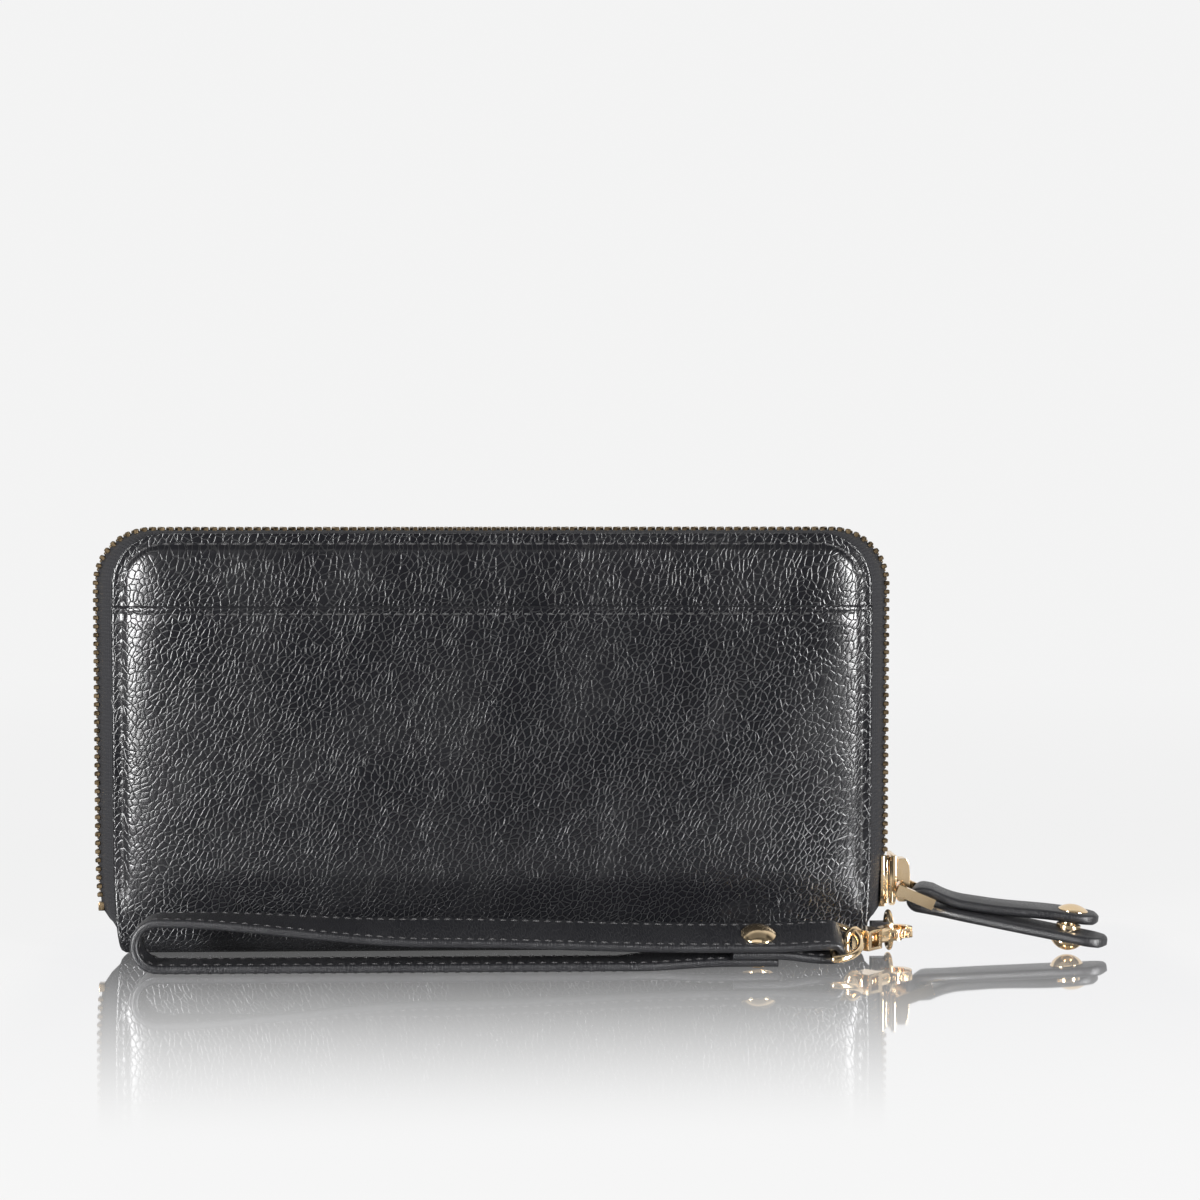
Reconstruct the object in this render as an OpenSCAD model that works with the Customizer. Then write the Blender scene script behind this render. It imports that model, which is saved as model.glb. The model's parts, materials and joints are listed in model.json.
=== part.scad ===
// Zip around wallet with a leather wrist strap.
// X runs along the wallet, Y from the slip-pocket face to the back, Z up from the spine.
// The origin is the middle of the flat spine bottom on which the wallet stands.

/* [Wallet] */
// Width of each leather cover
wallet_w = 195; // [176:1:240]
// Height of each leather cover above the surface
wallet_h = 105; // [95:1:130]
// Radius of the two upper corners of a cover
corner_top_r = 13; // [10:0.5:16]
// Radius of the two lower corners of a cover
corner_bottom_r = 12; // [10:0.5:14]
// Radius of the bend from the spine up into each cover
spine_bend_r = 6; // [5.5:0.1:7]
// Height of the slip pocket's open edge
slip_pocket_h = 87; // [60:1:88]

/* [Leather and lining] */
// Thickness of the cover leather
leather_t = 1.3; // [1:0.1:1.6]
// Thickness of the slip pocket's leather
pocket_leather_t = 1.2; // [0.8:0.1:1.6]
// Thickness of the stiffening boards
board_t = 0.8; // [0.5:0.1:1.2]
// Thickness of the lining
lining_t = 0.5; // [0.3:0.1:0.8]
// Thickness of one card pocket's leather
card_leather_t = 0.5; // [0.4:0.1:0.7]
// Number of card pockets on each side
card_pockets = 4; // [2:1:5]
// Clear depth of each banknote compartment
bill_depth = 5.2; // [4.4:0.1:8]

/* [Coin pocket] */
// Clear depth of the coin pocket
coin_depth = 4.3; // [4.1:0.1:6]
// Height of the coin pocket's walls
coin_h = 82; // [60:1:84]
// Thickness of the coin pocket's walls
coin_wall_t = 0.6; // [0.4:0.1:0.8]

/* [Zip] */
// Thickness of the zip tape
tape_t = 0.6; // [0.4:0.1:0.8]
// Thickness of a metal tooth
tooth_t = 1.6; // [1.4:0.1:1.7]
// How far a tooth reaches across from the parting line
tooth_reach = 2.6; // [2:0.1:3.2]
// Distance from tooth to tooth on one side
tooth_pitch = 2.2; // [2:0.1:2.8]
// How far the zip stands out past the side edges of the covers
side_out = 3.4; // [3:0.1:4]
// How far the zip stands out past the top edges of the covers
top_out = 0.8; // [0.6:0.1:2]
// Length of the slider body
slider_len = 13.5; // [11:0.5:15]
// Height of the slider's lower end above the surface at rest
slider_z = 9; // [9:0.5:16]

/* [Pull] */
// Clear width inside the pull ring
pull_ring_inner_w = 13.8; // [13.6:0.1:15]
// Distance between the two crossbars of the pull ring
pull_ring_len = 8.4; // [8.2:0.1:10]
// Width of the leather pull
pull_w = 11; // [9:0.1:11.2]
// Length of the lower leather leaf from the crossbar
pull_len = 43.5; // [40:0.5:46]
// Thickness of one leather leaf
leaf_t = 2.9; // [2.4:0.1:3.2]
// Slope of the leather pull below level
pull_pitch = 7.2; // [5:0.1:7.6]

/* [Wrist strap] */
// Width of the strap
strap_w = 11; // [9:0.1:11.6]
// Thickness of the strap
strap_t = 2; // [1.6:0.1:2.1]
// Where the far bend of the strap has its centre along the wallet
strap_bend_x = -79; // [-86:1:-60]
// Radius of the middle of the strap in its far bend
strap_bend_r = 5.6; // [5:0.1:6]
// Wire radius of the strap's ring
strap_ring_wire_r = 0.9; // [0.7:0.05:1]
// Radius of the curved side of the strap's ring
strap_ring_r = 7.2; // [7:0.1:7.6]

/* [Clasp] */
// Height of the clasp and the wallet ring above the surface
clasp_z = 5.2; // [5.2:0.1:6]
// Thickness of the hook
hook_t = 2.6; // [2.2:0.1:3]
// Mean radius of the wallet ring
wallet_ring_r = 4.5; // [4.4:0.05:4.8]
// Wire radius of the wallet ring
wallet_ring_wire_r = 0.6; // [0.5:0.05:0.7]

/* [Hidden] */
$fn = 64;
eps = 0.01;
gap = 0.1;

// Depths from the parting plane outwards, layer by layer.
coin_half = coin_depth / 2 + coin_wall_t;
card_step = card_leather_t + gap;
cards_in = coin_half + bill_depth;
cards_out = cards_in + card_pockets * card_step;
lining_out = cards_out + lining_t;
flange_out = lining_out + tape_t;
board_out = flange_out + board_t;
cover_out = board_out + leather_t;
half_w = wallet_w / 2;
board_inset = 8;
lining_inset = 1.5;

// The zip runs round a line of its own, outside the covers.
zip_half_w = half_w + side_out;
zip_top = wallet_h + top_out;
zip_corner_r = corner_top_r + top_out;
zip_end_z = slider_z + 2.5;
flange_w = 9;
row_gap = 0.4;
tape_edge = 1.4;
tooth_w = 1.3;

// Slider: two plates with room for the teeth, joined by a thin post.
slider_half_w = 4.5;
slider_room = tooth_t + 0.3;
slider_plate_t = 1.15;
slider_in = zip_half_w - slider_room / 2;
slider_out = zip_half_w + slider_room / 2;
bridge_w = 3.6;
bridge_rise = 3.9;
bridge_window = 2.8;
pivot_x = slider_out + slider_plate_t + bridge_window / 2;
pivot_z = slider_z + 5;
pull_bar_r = 0.75;
limb_w = 1.6;
ring_yaw = -8;
ring_pitch = 22;
pull_yaw = -26;
fold_r = 4;
fold_bore_r = 2.6;
upper_yaw = 7;
upper_lift = 2.5;
snap_x = 36;
snap_r = 4.2;
stud_r = 1.6;
leaf_gap = 0.4;

// Clasp, seen from above: it lies turned from the strap to the wallet ring.
clasp_yaw = 45;
ring_x = half_w + 1.8;
ring_y = -cover_out - 0.2;
hook_reach = 5.2;
clasp_x = ring_x - hook_reach * cos(clasp_yaw);
clasp_y = ring_y - wallet_ring_r - hook_reach * sin(clasp_yaw);
hook_half_w = 3.6;
jaw_half_w = 2.1;
hook_start = 1.6;
hook_end = 11.5;
jaw_start = 3.4;
jaw_end = 9.7;
gate_x = 3.6;
gate_y = -2.8;
gate_end = 9;
gate_pin_r = 0.45;
swivel_r = 0.9;
swivel_play = 0.05;
barrel_r = 1.9;
yoke_front = -2.3;
yoke_back = -8;
yoke_half_w = 2.5;
eye_x = -10.9;
eye_r = 3.0;
eye_wire_r = 0.85;

// The strap's ring goes through the eye, and its bar carries the strap's fold.
eye_at_x = clasp_x + eye_x * cos(clasp_yaw);
eye_at_y = clasp_y + eye_x * sin(clasp_yaw);
d_turn = 31.3;
d_x = eye_at_x - strap_ring_r * cos(d_turn);
d_y = eye_at_y - strap_ring_r * sin(d_turn);
d_z = 5.9;
strap_fold_r = strap_ring_wire_r + 0.1 + strap_t / 2;

// The strap's middle line, seen from the front: cut end, fold, upper strand, bend, lower strand.
rivet_x = 64;
rivet_r = 4.4;
post_r = 1.2;
lift_z = 1.2;
layer_1_z = lift_z + strap_t / 2;
layer_2_z = layer_1_z + strap_t + gap;
layer_3_z = layer_2_z + strap_t + gap;
strap_end_x = rivet_x - 6.5;

function arc(x, z, r, a0, a1, n) =
    [for (i = [0 : n]) let (a = a0 + (a1 - a0) * i / n) [x + r * cos(a), z + r * sin(a)]];
function ease(t) = t * t * (3 - 2 * t);
function rise(x0, z0, x1, z1, n) =
    [for (i = [0 : n]) let (t = i / n) [x0 + (x1 - x0) * t, z0 + (z1 - z0) * ease(t)]];

strap_line = concat(
    [[strap_end_x, layer_2_z], [rivet_x + 3, layer_2_z]],
    rise(rivet_x + 5, layer_2_z, d_x - 1.5, d_z - strap_fold_r, 5),
    arc(d_x, d_z, strap_fold_r, -90, 90, 14),
    rise(d_x - 1.5, d_z + strap_fold_r, rivet_x + 5, layer_3_z, 5),
    [[rivet_x - 4, layer_3_z]],
    rise(rivet_x - 14, layer_3_z + 0.3, strap_bend_x, strap_t / 2 + 2 * strap_bend_r, 12),
    arc(strap_bend_x, strap_t / 2 + strap_bend_r, strap_bend_r, 105, 270, 14),
    rise(strap_bend_x + 30, strap_t / 2, rivet_x - 8, layer_1_z, 8),
    [[rivet_x + 4, layer_1_z]]
);

function along(p, i) =
    let (a = p[max(i - 1, 0)], b = p[min(i + 1, len(p) - 1)], d = b - a) d / norm(d);
function beside(p, side) =
    [for (i = [0 : len(p) - 1]) let (d = along(p, i)) p[i] + side * [-d[1], d[0]]];
function backwards(p) = [for (i = [len(p) - 1 : -1 : 0]) p[i]];

// Colours
black_leather = [0.07, 0.07, 0.08];
cloth_black = [0.12, 0.12, 0.13];
card_grey = [0.55, 0.53, 0.5];
antique_brass = [0.52, 0.4, 0.24];
pale_gold = [0.86, 0.7, 0.45];

// A rectangle standing on z = 0 with round corners, as seen from the front.
module rounded(half, top, r_top, r_bottom) {
    difference() {
        translate([-half, 0]) square([2 * half, top]);
        for (s = [-1, 1]) {
            translate([s * half, top]) corner(r_top, -s, -1);
            translate([s * half, 0]) corner(r_bottom, -s, 1);
        }
    }
}

// The piece that a round corner takes off, with its point at the origin.
module corner(r, sx, sz) {
    difference() {
        translate([sx > 0 ? -1 : -r, sz > 0 ? -1 : -r]) square(r + 1);
        translate([sx * r, sz * r]) circle(r);
    }
}

module cover_outline() {
    rounded(half_w, wallet_h, corner_top_r, corner_bottom_r);
}

// A standing sheet between two depths, y0 and y1, from an outline seen from the front.
module sheet(y0, y1) {
    translate([0, y1, 0]) rotate([90, 0, 0]) linear_extrude(height = y1 - y0) children();
}

// Keeps what lies above the spine's bend.
module above(z) {
    intersection() {
        children();
        translate([-wallet_w, z]) square([2 * wallet_w, 2 * wallet_h]);
    }
}

module front_cover_leather() {
    color(black_leather) sheet(-cover_out, -board_out) above(spine_bend_r) cover_outline();
}

module slip_pocket_panel() {
    color(black_leather) sheet(-cover_out - pocket_leather_t, -cover_out)
        intersection() {
            above(spine_bend_r) cover_outline();
            translate([-half_w, 0]) square([wallet_w, slip_pocket_h]);
        }
}

module inner_outline(inset, z) {
    above(z) intersection() {
        translate([0, inset]) rounded(half_w - inset, wallet_h - 2 * inset, corner_top_r - inset / 2,
            corner_bottom_r - inset / 2);
        cover_outline();
    }
}

module front_cover_board() {
    color(card_grey) sheet(-board_out, -flange_out) inner_outline(board_inset, spine_bend_r + 1);
}

module front_lining() {
    color(cloth_black) sheet(-lining_out, -cards_out) inner_outline(lining_inset, spine_bend_r + 1);
}

module back_cover_leather() {
    color(black_leather) sheet(board_out, cover_out) above(spine_bend_r) cover_outline();
}

module back_cover_board() {
    color(card_grey) sheet(flange_out, board_out) inner_outline(board_inset, spine_bend_r + 1);
}

module back_lining() {
    color(cloth_black) sheet(cards_out, lining_out) inner_outline(lining_inset, spine_bend_r + 1);
}

spine_half_l = half_w - corner_bottom_r + 0.5;
spine_flat = cover_out - spine_bend_r;

// One bend of the spine: a quarter ring, seen along the wallet.
module bend() {
    intersection() {
        difference() {
            circle(spine_bend_r);
            circle(spine_bend_r - leather_t);
        }
        translate([0, -2 * spine_bend_r]) square(2 * spine_bend_r);
    }
}

module spine_leather() {
    color(black_leather) translate([-spine_half_l, 0, 0]) rotate([90, 0, 90])
        linear_extrude(height = 2 * spine_half_l) {
            translate([-spine_flat - eps, 0]) square([2 * spine_flat + 2 * eps, leather_t]);
            translate([-spine_flat, spine_bend_r]) mirror([1, 0]) bend();
            intersection() {
                translate([spine_flat, spine_bend_r]) bend();
                translate([0, -1]) square([2 * cover_out, spine_bend_r + 1 - 3 * gap]);
            }
        }
}

module spine_board() {
    color(card_grey) translate([-spine_half_l + 2, -spine_flat + 0.5, leather_t])
        cube([2 * spine_half_l - 4, 2 * spine_flat - 1, board_t]);
}

// The line of the zip, grown by a distance, as seen from the front.
module zip_outline(grow) {
    above(zip_end_z)
        rounded(zip_half_w + grow, zip_top + grow, zip_corner_r + grow, corner_bottom_r);
}

// One half of the tape: a flange sewn between board and lining, and the wall to the teeth.
module tape_half() {
    sheet(lining_out, flange_out) difference() {
        zip_outline(-tape_t / 2);
        translate([0, -flange_w]) zip_outline(-flange_w);
        above(0) translate([-zip_half_w + flange_w, 0]) square([2 * (zip_half_w - flange_w), zip_end_z + 1]);
    }
    sheet(tape_edge + tooth_reach - 1.2, flange_out) difference() {
        zip_outline(tape_t / 2);
        translate([0, -1]) zip_outline_full(-tape_t / 2);
    }
}

module zip_outline_full(grow) {
    translate([0, 1]) rounded(zip_half_w + grow, zip_top + grow, zip_corner_r + grow, corner_bottom_r);
}

module zip_tape_front() {
    color(cloth_black) mirror([0, 1, 0]) tape_half();
}

module zip_tape_back() {
    color(cloth_black) tape_half();
}

// Places along the zip line: up the left side, over the top and down the right side.
zip_side = zip_top - zip_corner_r - zip_end_z;
zip_quarter = PI / 2 * zip_corner_r;
zip_across = 2 * (zip_half_w - zip_corner_r);
zip_length = 2 * zip_side + 2 * zip_quarter + zip_across;
tooth_count = floor(zip_length / tooth_pitch) - 1;

// The place and turn of a point of the zip line at a distance from its left end: [x, z, angle].
function zip_at(s) =
    s < zip_side ? [-zip_half_w, zip_end_z + s, 90]
    : s < zip_side + zip_quarter
        ? let (a = 180 - (s - zip_side) / zip_corner_r * 180 / PI)
            [-zip_half_w + zip_corner_r * (1 + cos(a)), zip_top - zip_corner_r * (1 - sin(a)), a - 90]
    : s < zip_side + zip_quarter + zip_across
        ? [-zip_half_w + zip_corner_r + s - zip_side - zip_quarter, zip_top, 0]
    : s < zip_side + 2 * zip_quarter + zip_across
        ? let (a = 90 - (s - zip_side - zip_quarter - zip_across) / zip_corner_r * 180 / PI)
            [zip_half_w - zip_corner_r * (1 - cos(a)), zip_top - zip_corner_r * (1 - sin(a)), a - 90]
    : [zip_half_w, zip_end_z + zip_length - s, -90];

// One row of teeth; each stands just past the edge of its tape.
module teeth_row() {
    for (i = [1 : tooth_count]) {
        at = zip_at(i * tooth_pitch);
        translate([at[0], row_gap, at[1]]) rotate([0, -at[2], 0])
            translate([-tooth_w / 2, 0, -tooth_t / 2]) cube([tooth_w, tooth_reach - row_gap, tooth_t]);
    }
}

module zip_teeth_front() {
    color(antique_brass) mirror([0, 1, 0]) teeth_row();
}

module zip_teeth_back() {
    color(antique_brass) teeth_row();
}

// The stops clamp the tape below the lowest teeth.
module zip_bottom_stops() {
    color(antique_brass) for (s = [-1, 1])
        translate([s * zip_half_w - tooth_t / 2, -tooth_reach, zip_end_z - 2.4])
            cube([tooth_t, tooth_reach - row_gap, 2.2]);
}

tab_x = half_w - 2;

module zip_end_tabs() {
    color(black_leather) for (s = [-1, 1])
        translate([s > 0 ? spine_half_l + gap : -tab_x, -cards_out + 0.5, leather_t + 0.2])
            cube([tab_x - spine_half_l - gap, 2 * cards_out - 1, spine_bend_r - leather_t - 0.5]);
}

module slider_body() {
    color(pale_gold) {
        for (x = [slider_in - slider_plate_t, slider_out])
            translate([x, -slider_half_w, slider_z])
                rotate([90, 0, 90]) linear_extrude(height = slider_plate_t) slider_face();
        translate([slider_in - eps, -0.25, slider_z + slider_len - 4])
            cube([slider_room + 2 * eps, 0.5, 3]);
    }
}

// The slider's face: shoulders at the top, a round tail at the bottom.
module slider_face() {
    translate([0, slider_half_w]) square([2 * slider_half_w, slider_len - slider_half_w]);
    translate([slider_half_w, slider_half_w]) circle(slider_half_w);
}

// The bridge is a bent strip on the outer plate, open along Y for the pull ring's bar.
module slider_bridge() {
    base = slider_out + slider_plate_t;
    color(pale_gold) translate([base, bridge_w / 2, slider_z + 1.8]) rotate([90, 0, 0])
        linear_extrude(height = bridge_w) difference() {
            intersection() {
                square([bridge_rise, slider_len - 3.6]);
                translate([-2.2, (slider_len - 3.6) / 2]) circle(bridge_rise + 2.2);
            }
            translate([-eps, 1.5]) square([bridge_window + eps, slider_len - 7.2]);
        }
}

// Puts a shape, drawn with X along the pull, at the slider's pivot.
module at_pivot() {
    translate([pivot_x, 0, pivot_z]) rotate([0, ring_pitch, ring_yaw]) children();
}

bar_b = [pivot_x + pull_ring_len * cos(ring_pitch) * cos(ring_yaw),
    pull_ring_len * cos(ring_pitch) * sin(ring_yaw), pivot_z - pull_ring_len * sin(ring_pitch)];

module at_fold() {
    translate(bar_b) rotate([0, pull_pitch, pull_yaw]) children();
}

module at_upper() {
    at_fold() rotate([0, -upper_lift, upper_yaw]) children();
}

module crossbar(x, r) {
    translate([x, 0, 0]) rotate([90, 0, 0])
        cylinder(h = pull_ring_inner_w + 2 * limb_w - 0.2, r = r, center = true);
}

module pull_ring() {
    color(pale_gold) at_pivot() {
        crossbar(0, pull_bar_r);
        crossbar(pull_ring_len, pull_bar_r);
        for (s = [-1, 1])
            translate([-pull_bar_r, s * (pull_ring_inner_w + limb_w) / 2 - limb_w / 2, -pull_bar_r])
                cube([pull_ring_len + 2 * pull_bar_r, limb_w, 2 * pull_bar_r]);
    }
}

// A leaf with a round end, seen from above, reaching from x0 to x1.
module leaf(x0, x1, t) {
    linear_extrude(height = t) {
        translate([x0, -pull_w / 2]) square([x1 - x0 - pull_w / 2, pull_w]);
        translate([x1 - pull_w / 2, 0]) circle(pull_w / 2);
    }
}

module pull_leaf_lower() {
    color(black_leather) at_fold() difference() {
        union() {
            rotate([90, 0, 0]) cylinder(h = pull_w, r = fold_r, center = true);
            translate([0, 0, -leaf_gap - leaf_t]) leaf(0, pull_len, leaf_t);
        }
        rotate([90, 0, 0]) cylinder(h = pull_w + 2, r = fold_bore_r, center = true);
        translate([fold_r - 1.2, -pull_w, -leaf_gap]) cube([fold_r, 2 * pull_w, 2 * fold_r]);
        translate([snap_x, 0, -leaf_gap - leaf_t - 1]) cylinder(h = leaf_t + 2, r = 1);
    }
}

upper_z = 1.7;

module pull_leaf_upper() {
    color(black_leather) at_upper() translate([0, 0, upper_z - leaf_gap]) difference() {
        leaf(fold_r + 1.5, pull_len - 2, leaf_t - 0.4);
        translate([snap_x, 0, -1]) cylinder(h = leaf_t + 2, r = 1);
    }
}

module snap_socket() {
    color(pale_gold) at_fold() translate([snap_x, 0, -leaf_gap]) difference() {
        cylinder(h = 1, r = 3);
        translate([0, 0, -1]) cylinder(h = 3, r = stud_r + 0.15);
    }
}

// A shallow dome on a flat rim, drawn upwards, with a short post below it.
module dome(r, h, post) {
    rotate_extrude() intersection() {
        translate([0, h - (r * r + h * h) / (2 * h)]) circle((r * r + h * h) / (2 * h), $fn = 96);
        square([r, h]);
    }
    translate([0, 0, -post]) cylinder(h = post + eps, r = 0.95);
}

module snap_socket_cap() {
    color(pale_gold) at_fold() translate([snap_x, 0, -leaf_gap - leaf_t]) rotate([180, 0, 0])
        dome(snap_r, 2.7, leaf_t - 0.4);
}

module snap_stud() {
    color(pale_gold) at_upper() translate([snap_x, 0, upper_z - leaf_gap - 0.9]) {
        cylinder(h = 0.9, r = stud_r);
        translate([0, 0, 0.5]) cylinder(h = 0.4, r = 3);
    }
}

module snap_stud_cap() {
    color(pale_gold) at_upper() translate([snap_x, 0, upper_z - leaf_gap + leaf_t - 0.4])
        dome(snap_r - 0.3, 1.5, leaf_t - 1);
}

module torus(mean, wire) {
    rotate_extrude() translate([mean, 0]) circle(wire, $fn = 24);
}

module at_wallet_ring() {
    translate([ring_x, ring_y, clasp_z]) rotate([0, 90, 0]) children();
}

module wallet_ring() {
    color(pale_gold) at_wallet_ring() torus(wallet_ring_r, wallet_ring_wire_r);
}

module ring_tab() {
    color(black_leather) difference() {
        translate([tab_x, ring_y + wallet_ring_r - 1.4, leather_t + 0.9])
            cube([ring_x + 1.6 - tab_x, 2.8, spine_bend_r - leather_t - 0.4]);
        at_wallet_ring() torus(wallet_ring_r, wallet_ring_wire_r + gap);
    }
}

module at_clasp() {
    translate([clasp_x, clasp_y, clasp_z]) rotate([0, 0, clasp_yaw]) children();
}

module stadium(x0, x1, half) {
    translate([x0 + half, -half]) square([x1 - x0 - 2 * half, 2 * half]);
    translate([x0 + half, 0]) circle(half);
    translate([x1 - half, 0]) circle(half);
}

module clasp_hook() {
    color(pale_gold) at_clasp() difference() {
        union() {
            translate([0, 0, -hook_t / 2]) linear_extrude(height = hook_t)
                stadium(hook_start, hook_end, hook_half_w);
            translate([yoke_front + gap, 0, 0]) rotate([0, 90, 0])
                cylinder(h = jaw_start - yoke_front - 0.3, r = barrel_r);
        }
        translate([0, 0, -hook_t]) linear_extrude(height = 2 * hook_t)
            stadium(jaw_start, jaw_end, jaw_half_w);
        translate([gate_x + 1, -2 * hook_half_w, -hook_t])
            cube([gate_end - gate_x - 0.8, 2 * hook_half_w - jaw_half_w + 0.3, 2 * hook_t]);
        translate([gate_x - 1.2, -2 * hook_half_w, -0.7])
            cube([2.4, 2 * hook_half_w - 1.6, 1.4]);
        translate([gate_x, gate_y, -hook_t]) cylinder(h = 2 * hook_t, r = gate_pin_r);
        rotate([0, 90, 0]) translate([0, 0, yoke_front]) cylinder(h = 1.5 - yoke_front, r = swivel_r);
    }
}

module clasp_gate() {
    color(pale_gold) at_clasp() difference() {
        union() {
            translate([gate_x + 1.2, -3.5, -1]) cube([gate_end - gate_x - 1.4, 1.3, 2]);
            translate([gate_x, -3.3, -0.6]) cube([1.3, 1.1, 1.2]);
            translate([gate_x, gate_y, -0.6]) cylinder(h = 1.2, r = 0.8);
            translate([gate_x + 2.2, -4.6, -0.8]) cube([2, 1.2, 1.6]);
        }
        translate([gate_x, gate_y, -2]) cylinder(h = 4, r = gate_pin_r + 0.04);
    }
}

module clasp_gate_pin() {
    color(pale_gold) at_clasp() translate([gate_x, gate_y, -hook_t / 2])
        cylinder(h = hook_t, r = gate_pin_r);
}

// A leaf spring, bent from strip, pushes the gate shut.
module clasp_gate_spring() {
    color([0.7, 0.7, 0.72]) at_clasp() translate([gate_x - 1.15, gate_y + 0.84, -0.5]) cube([1.2, 0.3, 1]);
}

module clasp_swivel_pin() {
    color(pale_gold) at_clasp() rotate([0, 90, 0]) {
        translate([0, 0, -4.8]) cylinder(h = 6.3, r = swivel_r);
        translate([0, 0, -4.8]) cylinder(h = 0.9, r = 1.5);
    }
}

module clasp_eye() {
    color(pale_gold) at_clasp() difference() {
        union() {
            translate([yoke_back, -yoke_half_w, -yoke_half_w])
                cube([yoke_front - yoke_back, 2 * yoke_half_w, 2 * yoke_half_w]);
            translate([eye_x, 0, 0]) rotate([90, 0, 0]) torus(eye_r, eye_wire_r);
        }
        translate([yoke_back + 1.2, -yoke_half_w - 1, -1.75])
            cube([yoke_front - yoke_back - 2.6, 2 * yoke_half_w + 2, 3.5]);
        rotate([0, 90, 0]) translate([0, 0, -5]) cylinder(h = 5, r = swivel_r + swivel_play);
        translate([eye_x, 0, 0]) rotate([90, 0, 0])
            cylinder(h = 2 * yoke_half_w + 2, r = eye_r - eye_wire_r, center = true);
    }
}

// The strap's ring: a straight bar and a half round, tilted down towards the clasp.
module strap_ring() {
    color(pale_gold) translate([d_x, d_y, d_z]) {
        rotate([90, 0, 0]) cylinder(h = 2 * strap_ring_r, r = strap_ring_wire_r, center = true);
        rotate([0, 0, -90]) rotate_extrude(angle = 180) translate([strap_ring_r, 0])
            circle(strap_ring_wire_r, $fn = 24);
        for (s = [-1, 1]) translate([0, s * strap_ring_r, 0]) sphere(strap_ring_wire_r, $fn = 24);
    }
}

module wrist_strap() {
    color(black_leather) difference() {
        translate([0, d_y + strap_w / 2, 0]) rotate([90, 0, 0]) linear_extrude(height = strap_w)
            polygon(concat(beside(strap_line, strap_t / 2), backwards(beside(strap_line, -strap_t / 2))));
        translate([rivet_x, d_y, -1]) cylinder(h = 20, r = post_r + 0.05);
    }
}

module strap_rivet_post() {
    color(pale_gold) translate([rivet_x, d_y, lift_z - 0.6])
        cylinder(h = layer_3_z + strap_t / 2 + 0.6 - lift_z + 0.6, r = post_r);
}

module strap_rivet_cap() {
    color(pale_gold) translate([rivet_x, d_y, layer_3_z + strap_t / 2]) difference() {
        dome(rivet_r, 1.8, 0);
        translate([0, 0, -1]) cylinder(h = 1.6, r = post_r);
    }
}

module strap_rivet_back() {
    color(pale_gold) translate([rivet_x, d_y, lift_z - 1]) difference() {
        cylinder(h = 1, r = rivet_r - 0.4);
        translate([0, 0, 0.4]) cylinder(h = 1, r = post_r);
    }
}

gusset_t = 0.6;
gusset_x = spine_half_l - 1.5;
gusset_h = 70;

module gusset(side) {
    color(cloth_black) translate([side * gusset_x - gusset_t / 2, -cards_out + gap, spine_bend_r + 0.3])
        cube([gusset_t, 2 * cards_out - 2 * gap, gusset_h]);
}

module gusset_left() {
    gusset(-1);
}

module gusset_right() {
    gusset(1);
}

card_panel_half_w = gusset_x - 5;
card_top = wallet_h - 12;
card_drop = 12;
card_base = spine_bend_r + 2;

// Card pockets overlap like steps; the one nearest the middle of the wallet is the lowest.
module card_stack() {
    for (i = [0 : card_pockets - 1])
        translate([-card_panel_half_w, cards_out - (i + 1) * card_step + gap, card_base])
            cube([2 * card_panel_half_w, card_leather_t, card_top - card_base - i * card_drop]);
}

module card_pockets_front() {
    color(black_leather) mirror([0, 1, 0]) card_stack();
}

module card_pockets_back() {
    color(black_leather) card_stack();
}

coin_half_w = gusset_x - 3;
coin_base = leather_t + board_t + 0.9;
coin_top = coin_base + coin_h;

module coin_pocket_front() {
    color(cloth_black) translate([-coin_half_w, -coin_half, coin_base + coin_wall_t])
        cube([2 * coin_half_w, coin_wall_t, coin_h - coin_wall_t]);
}

module coin_pocket_back() {
    color(cloth_black) translate([-coin_half_w, coin_half - coin_wall_t, coin_base + coin_wall_t])
        cube([2 * coin_half_w, coin_wall_t, coin_h - coin_wall_t]);
}

// The folded base and side seams join the two walls.
module coin_pocket_base() {
    color(cloth_black) {
        translate([-coin_half_w, -coin_half, coin_base]) cube([2 * coin_half_w, 2 * coin_half, coin_wall_t]);
        for (x = [-coin_half_w, coin_half_w - 1])
            translate([x, -coin_depth / 2, coin_base]) cube([1, coin_depth, coin_h]);
    }
}

coin_row_gap = 0.35;
coin_tooth_h = 1.1;

module coin_zip_tape() {
    color(cloth_black) for (s = [-1, 1])
        translate([-coin_half_w, s > 0 ? coin_row_gap + 0.6 : -coin_half, coin_top])
            cube([2 * coin_half_w, coin_half - coin_row_gap - 0.6, 0.5]);
}

coin_pitch = 2.4;
coin_teeth = floor((2 * coin_half_w - 12) / coin_pitch);

module coin_zip_teeth() {
    color(antique_brass) for (s = [-1, 1]) for (i = [0 : coin_teeth])
        translate([-coin_half_w + 6 + i * coin_pitch, s > 0 ? coin_row_gap : -coin_row_gap - 1.4, coin_top + 0.5])
            cube([1.3, 1.4, coin_tooth_h]);
}

module coin_zip_stops() {
    color(antique_brass) for (x = [-coin_half_w + 2, coin_half_w - 4])
        translate([x, -1.75, coin_top + 0.5]) cube([1.6, 3.5, coin_tooth_h]);
}

coin_slider_x = -coin_half_w + 5;
coin_slider_len = 8;
coin_slider_top = coin_top + 0.5 + coin_tooth_h + gap;

module coin_slider() {
    color(pale_gold) {
        difference() {
            translate([coin_slider_x, -2.4, coin_slider_top]) cube([coin_slider_len, 4.8, 2.6]);
            translate([coin_slider_x + 2, -3, coin_slider_top + 0.8])
                cube([coin_slider_len - 4, 6, 1.2]);
        }
        translate([coin_slider_x, -0.2, coin_top - 1]) cube([3, 0.4, coin_slider_top - coin_top + 1 + eps]);
        translate([coin_slider_x, -1.6, coin_top - 1]) cube([coin_slider_len, 3.2, 0.8]);
    }
}

coin_bar_r = 0.45;
coin_bar_x = coin_slider_x + coin_slider_len - 3.2;

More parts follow.
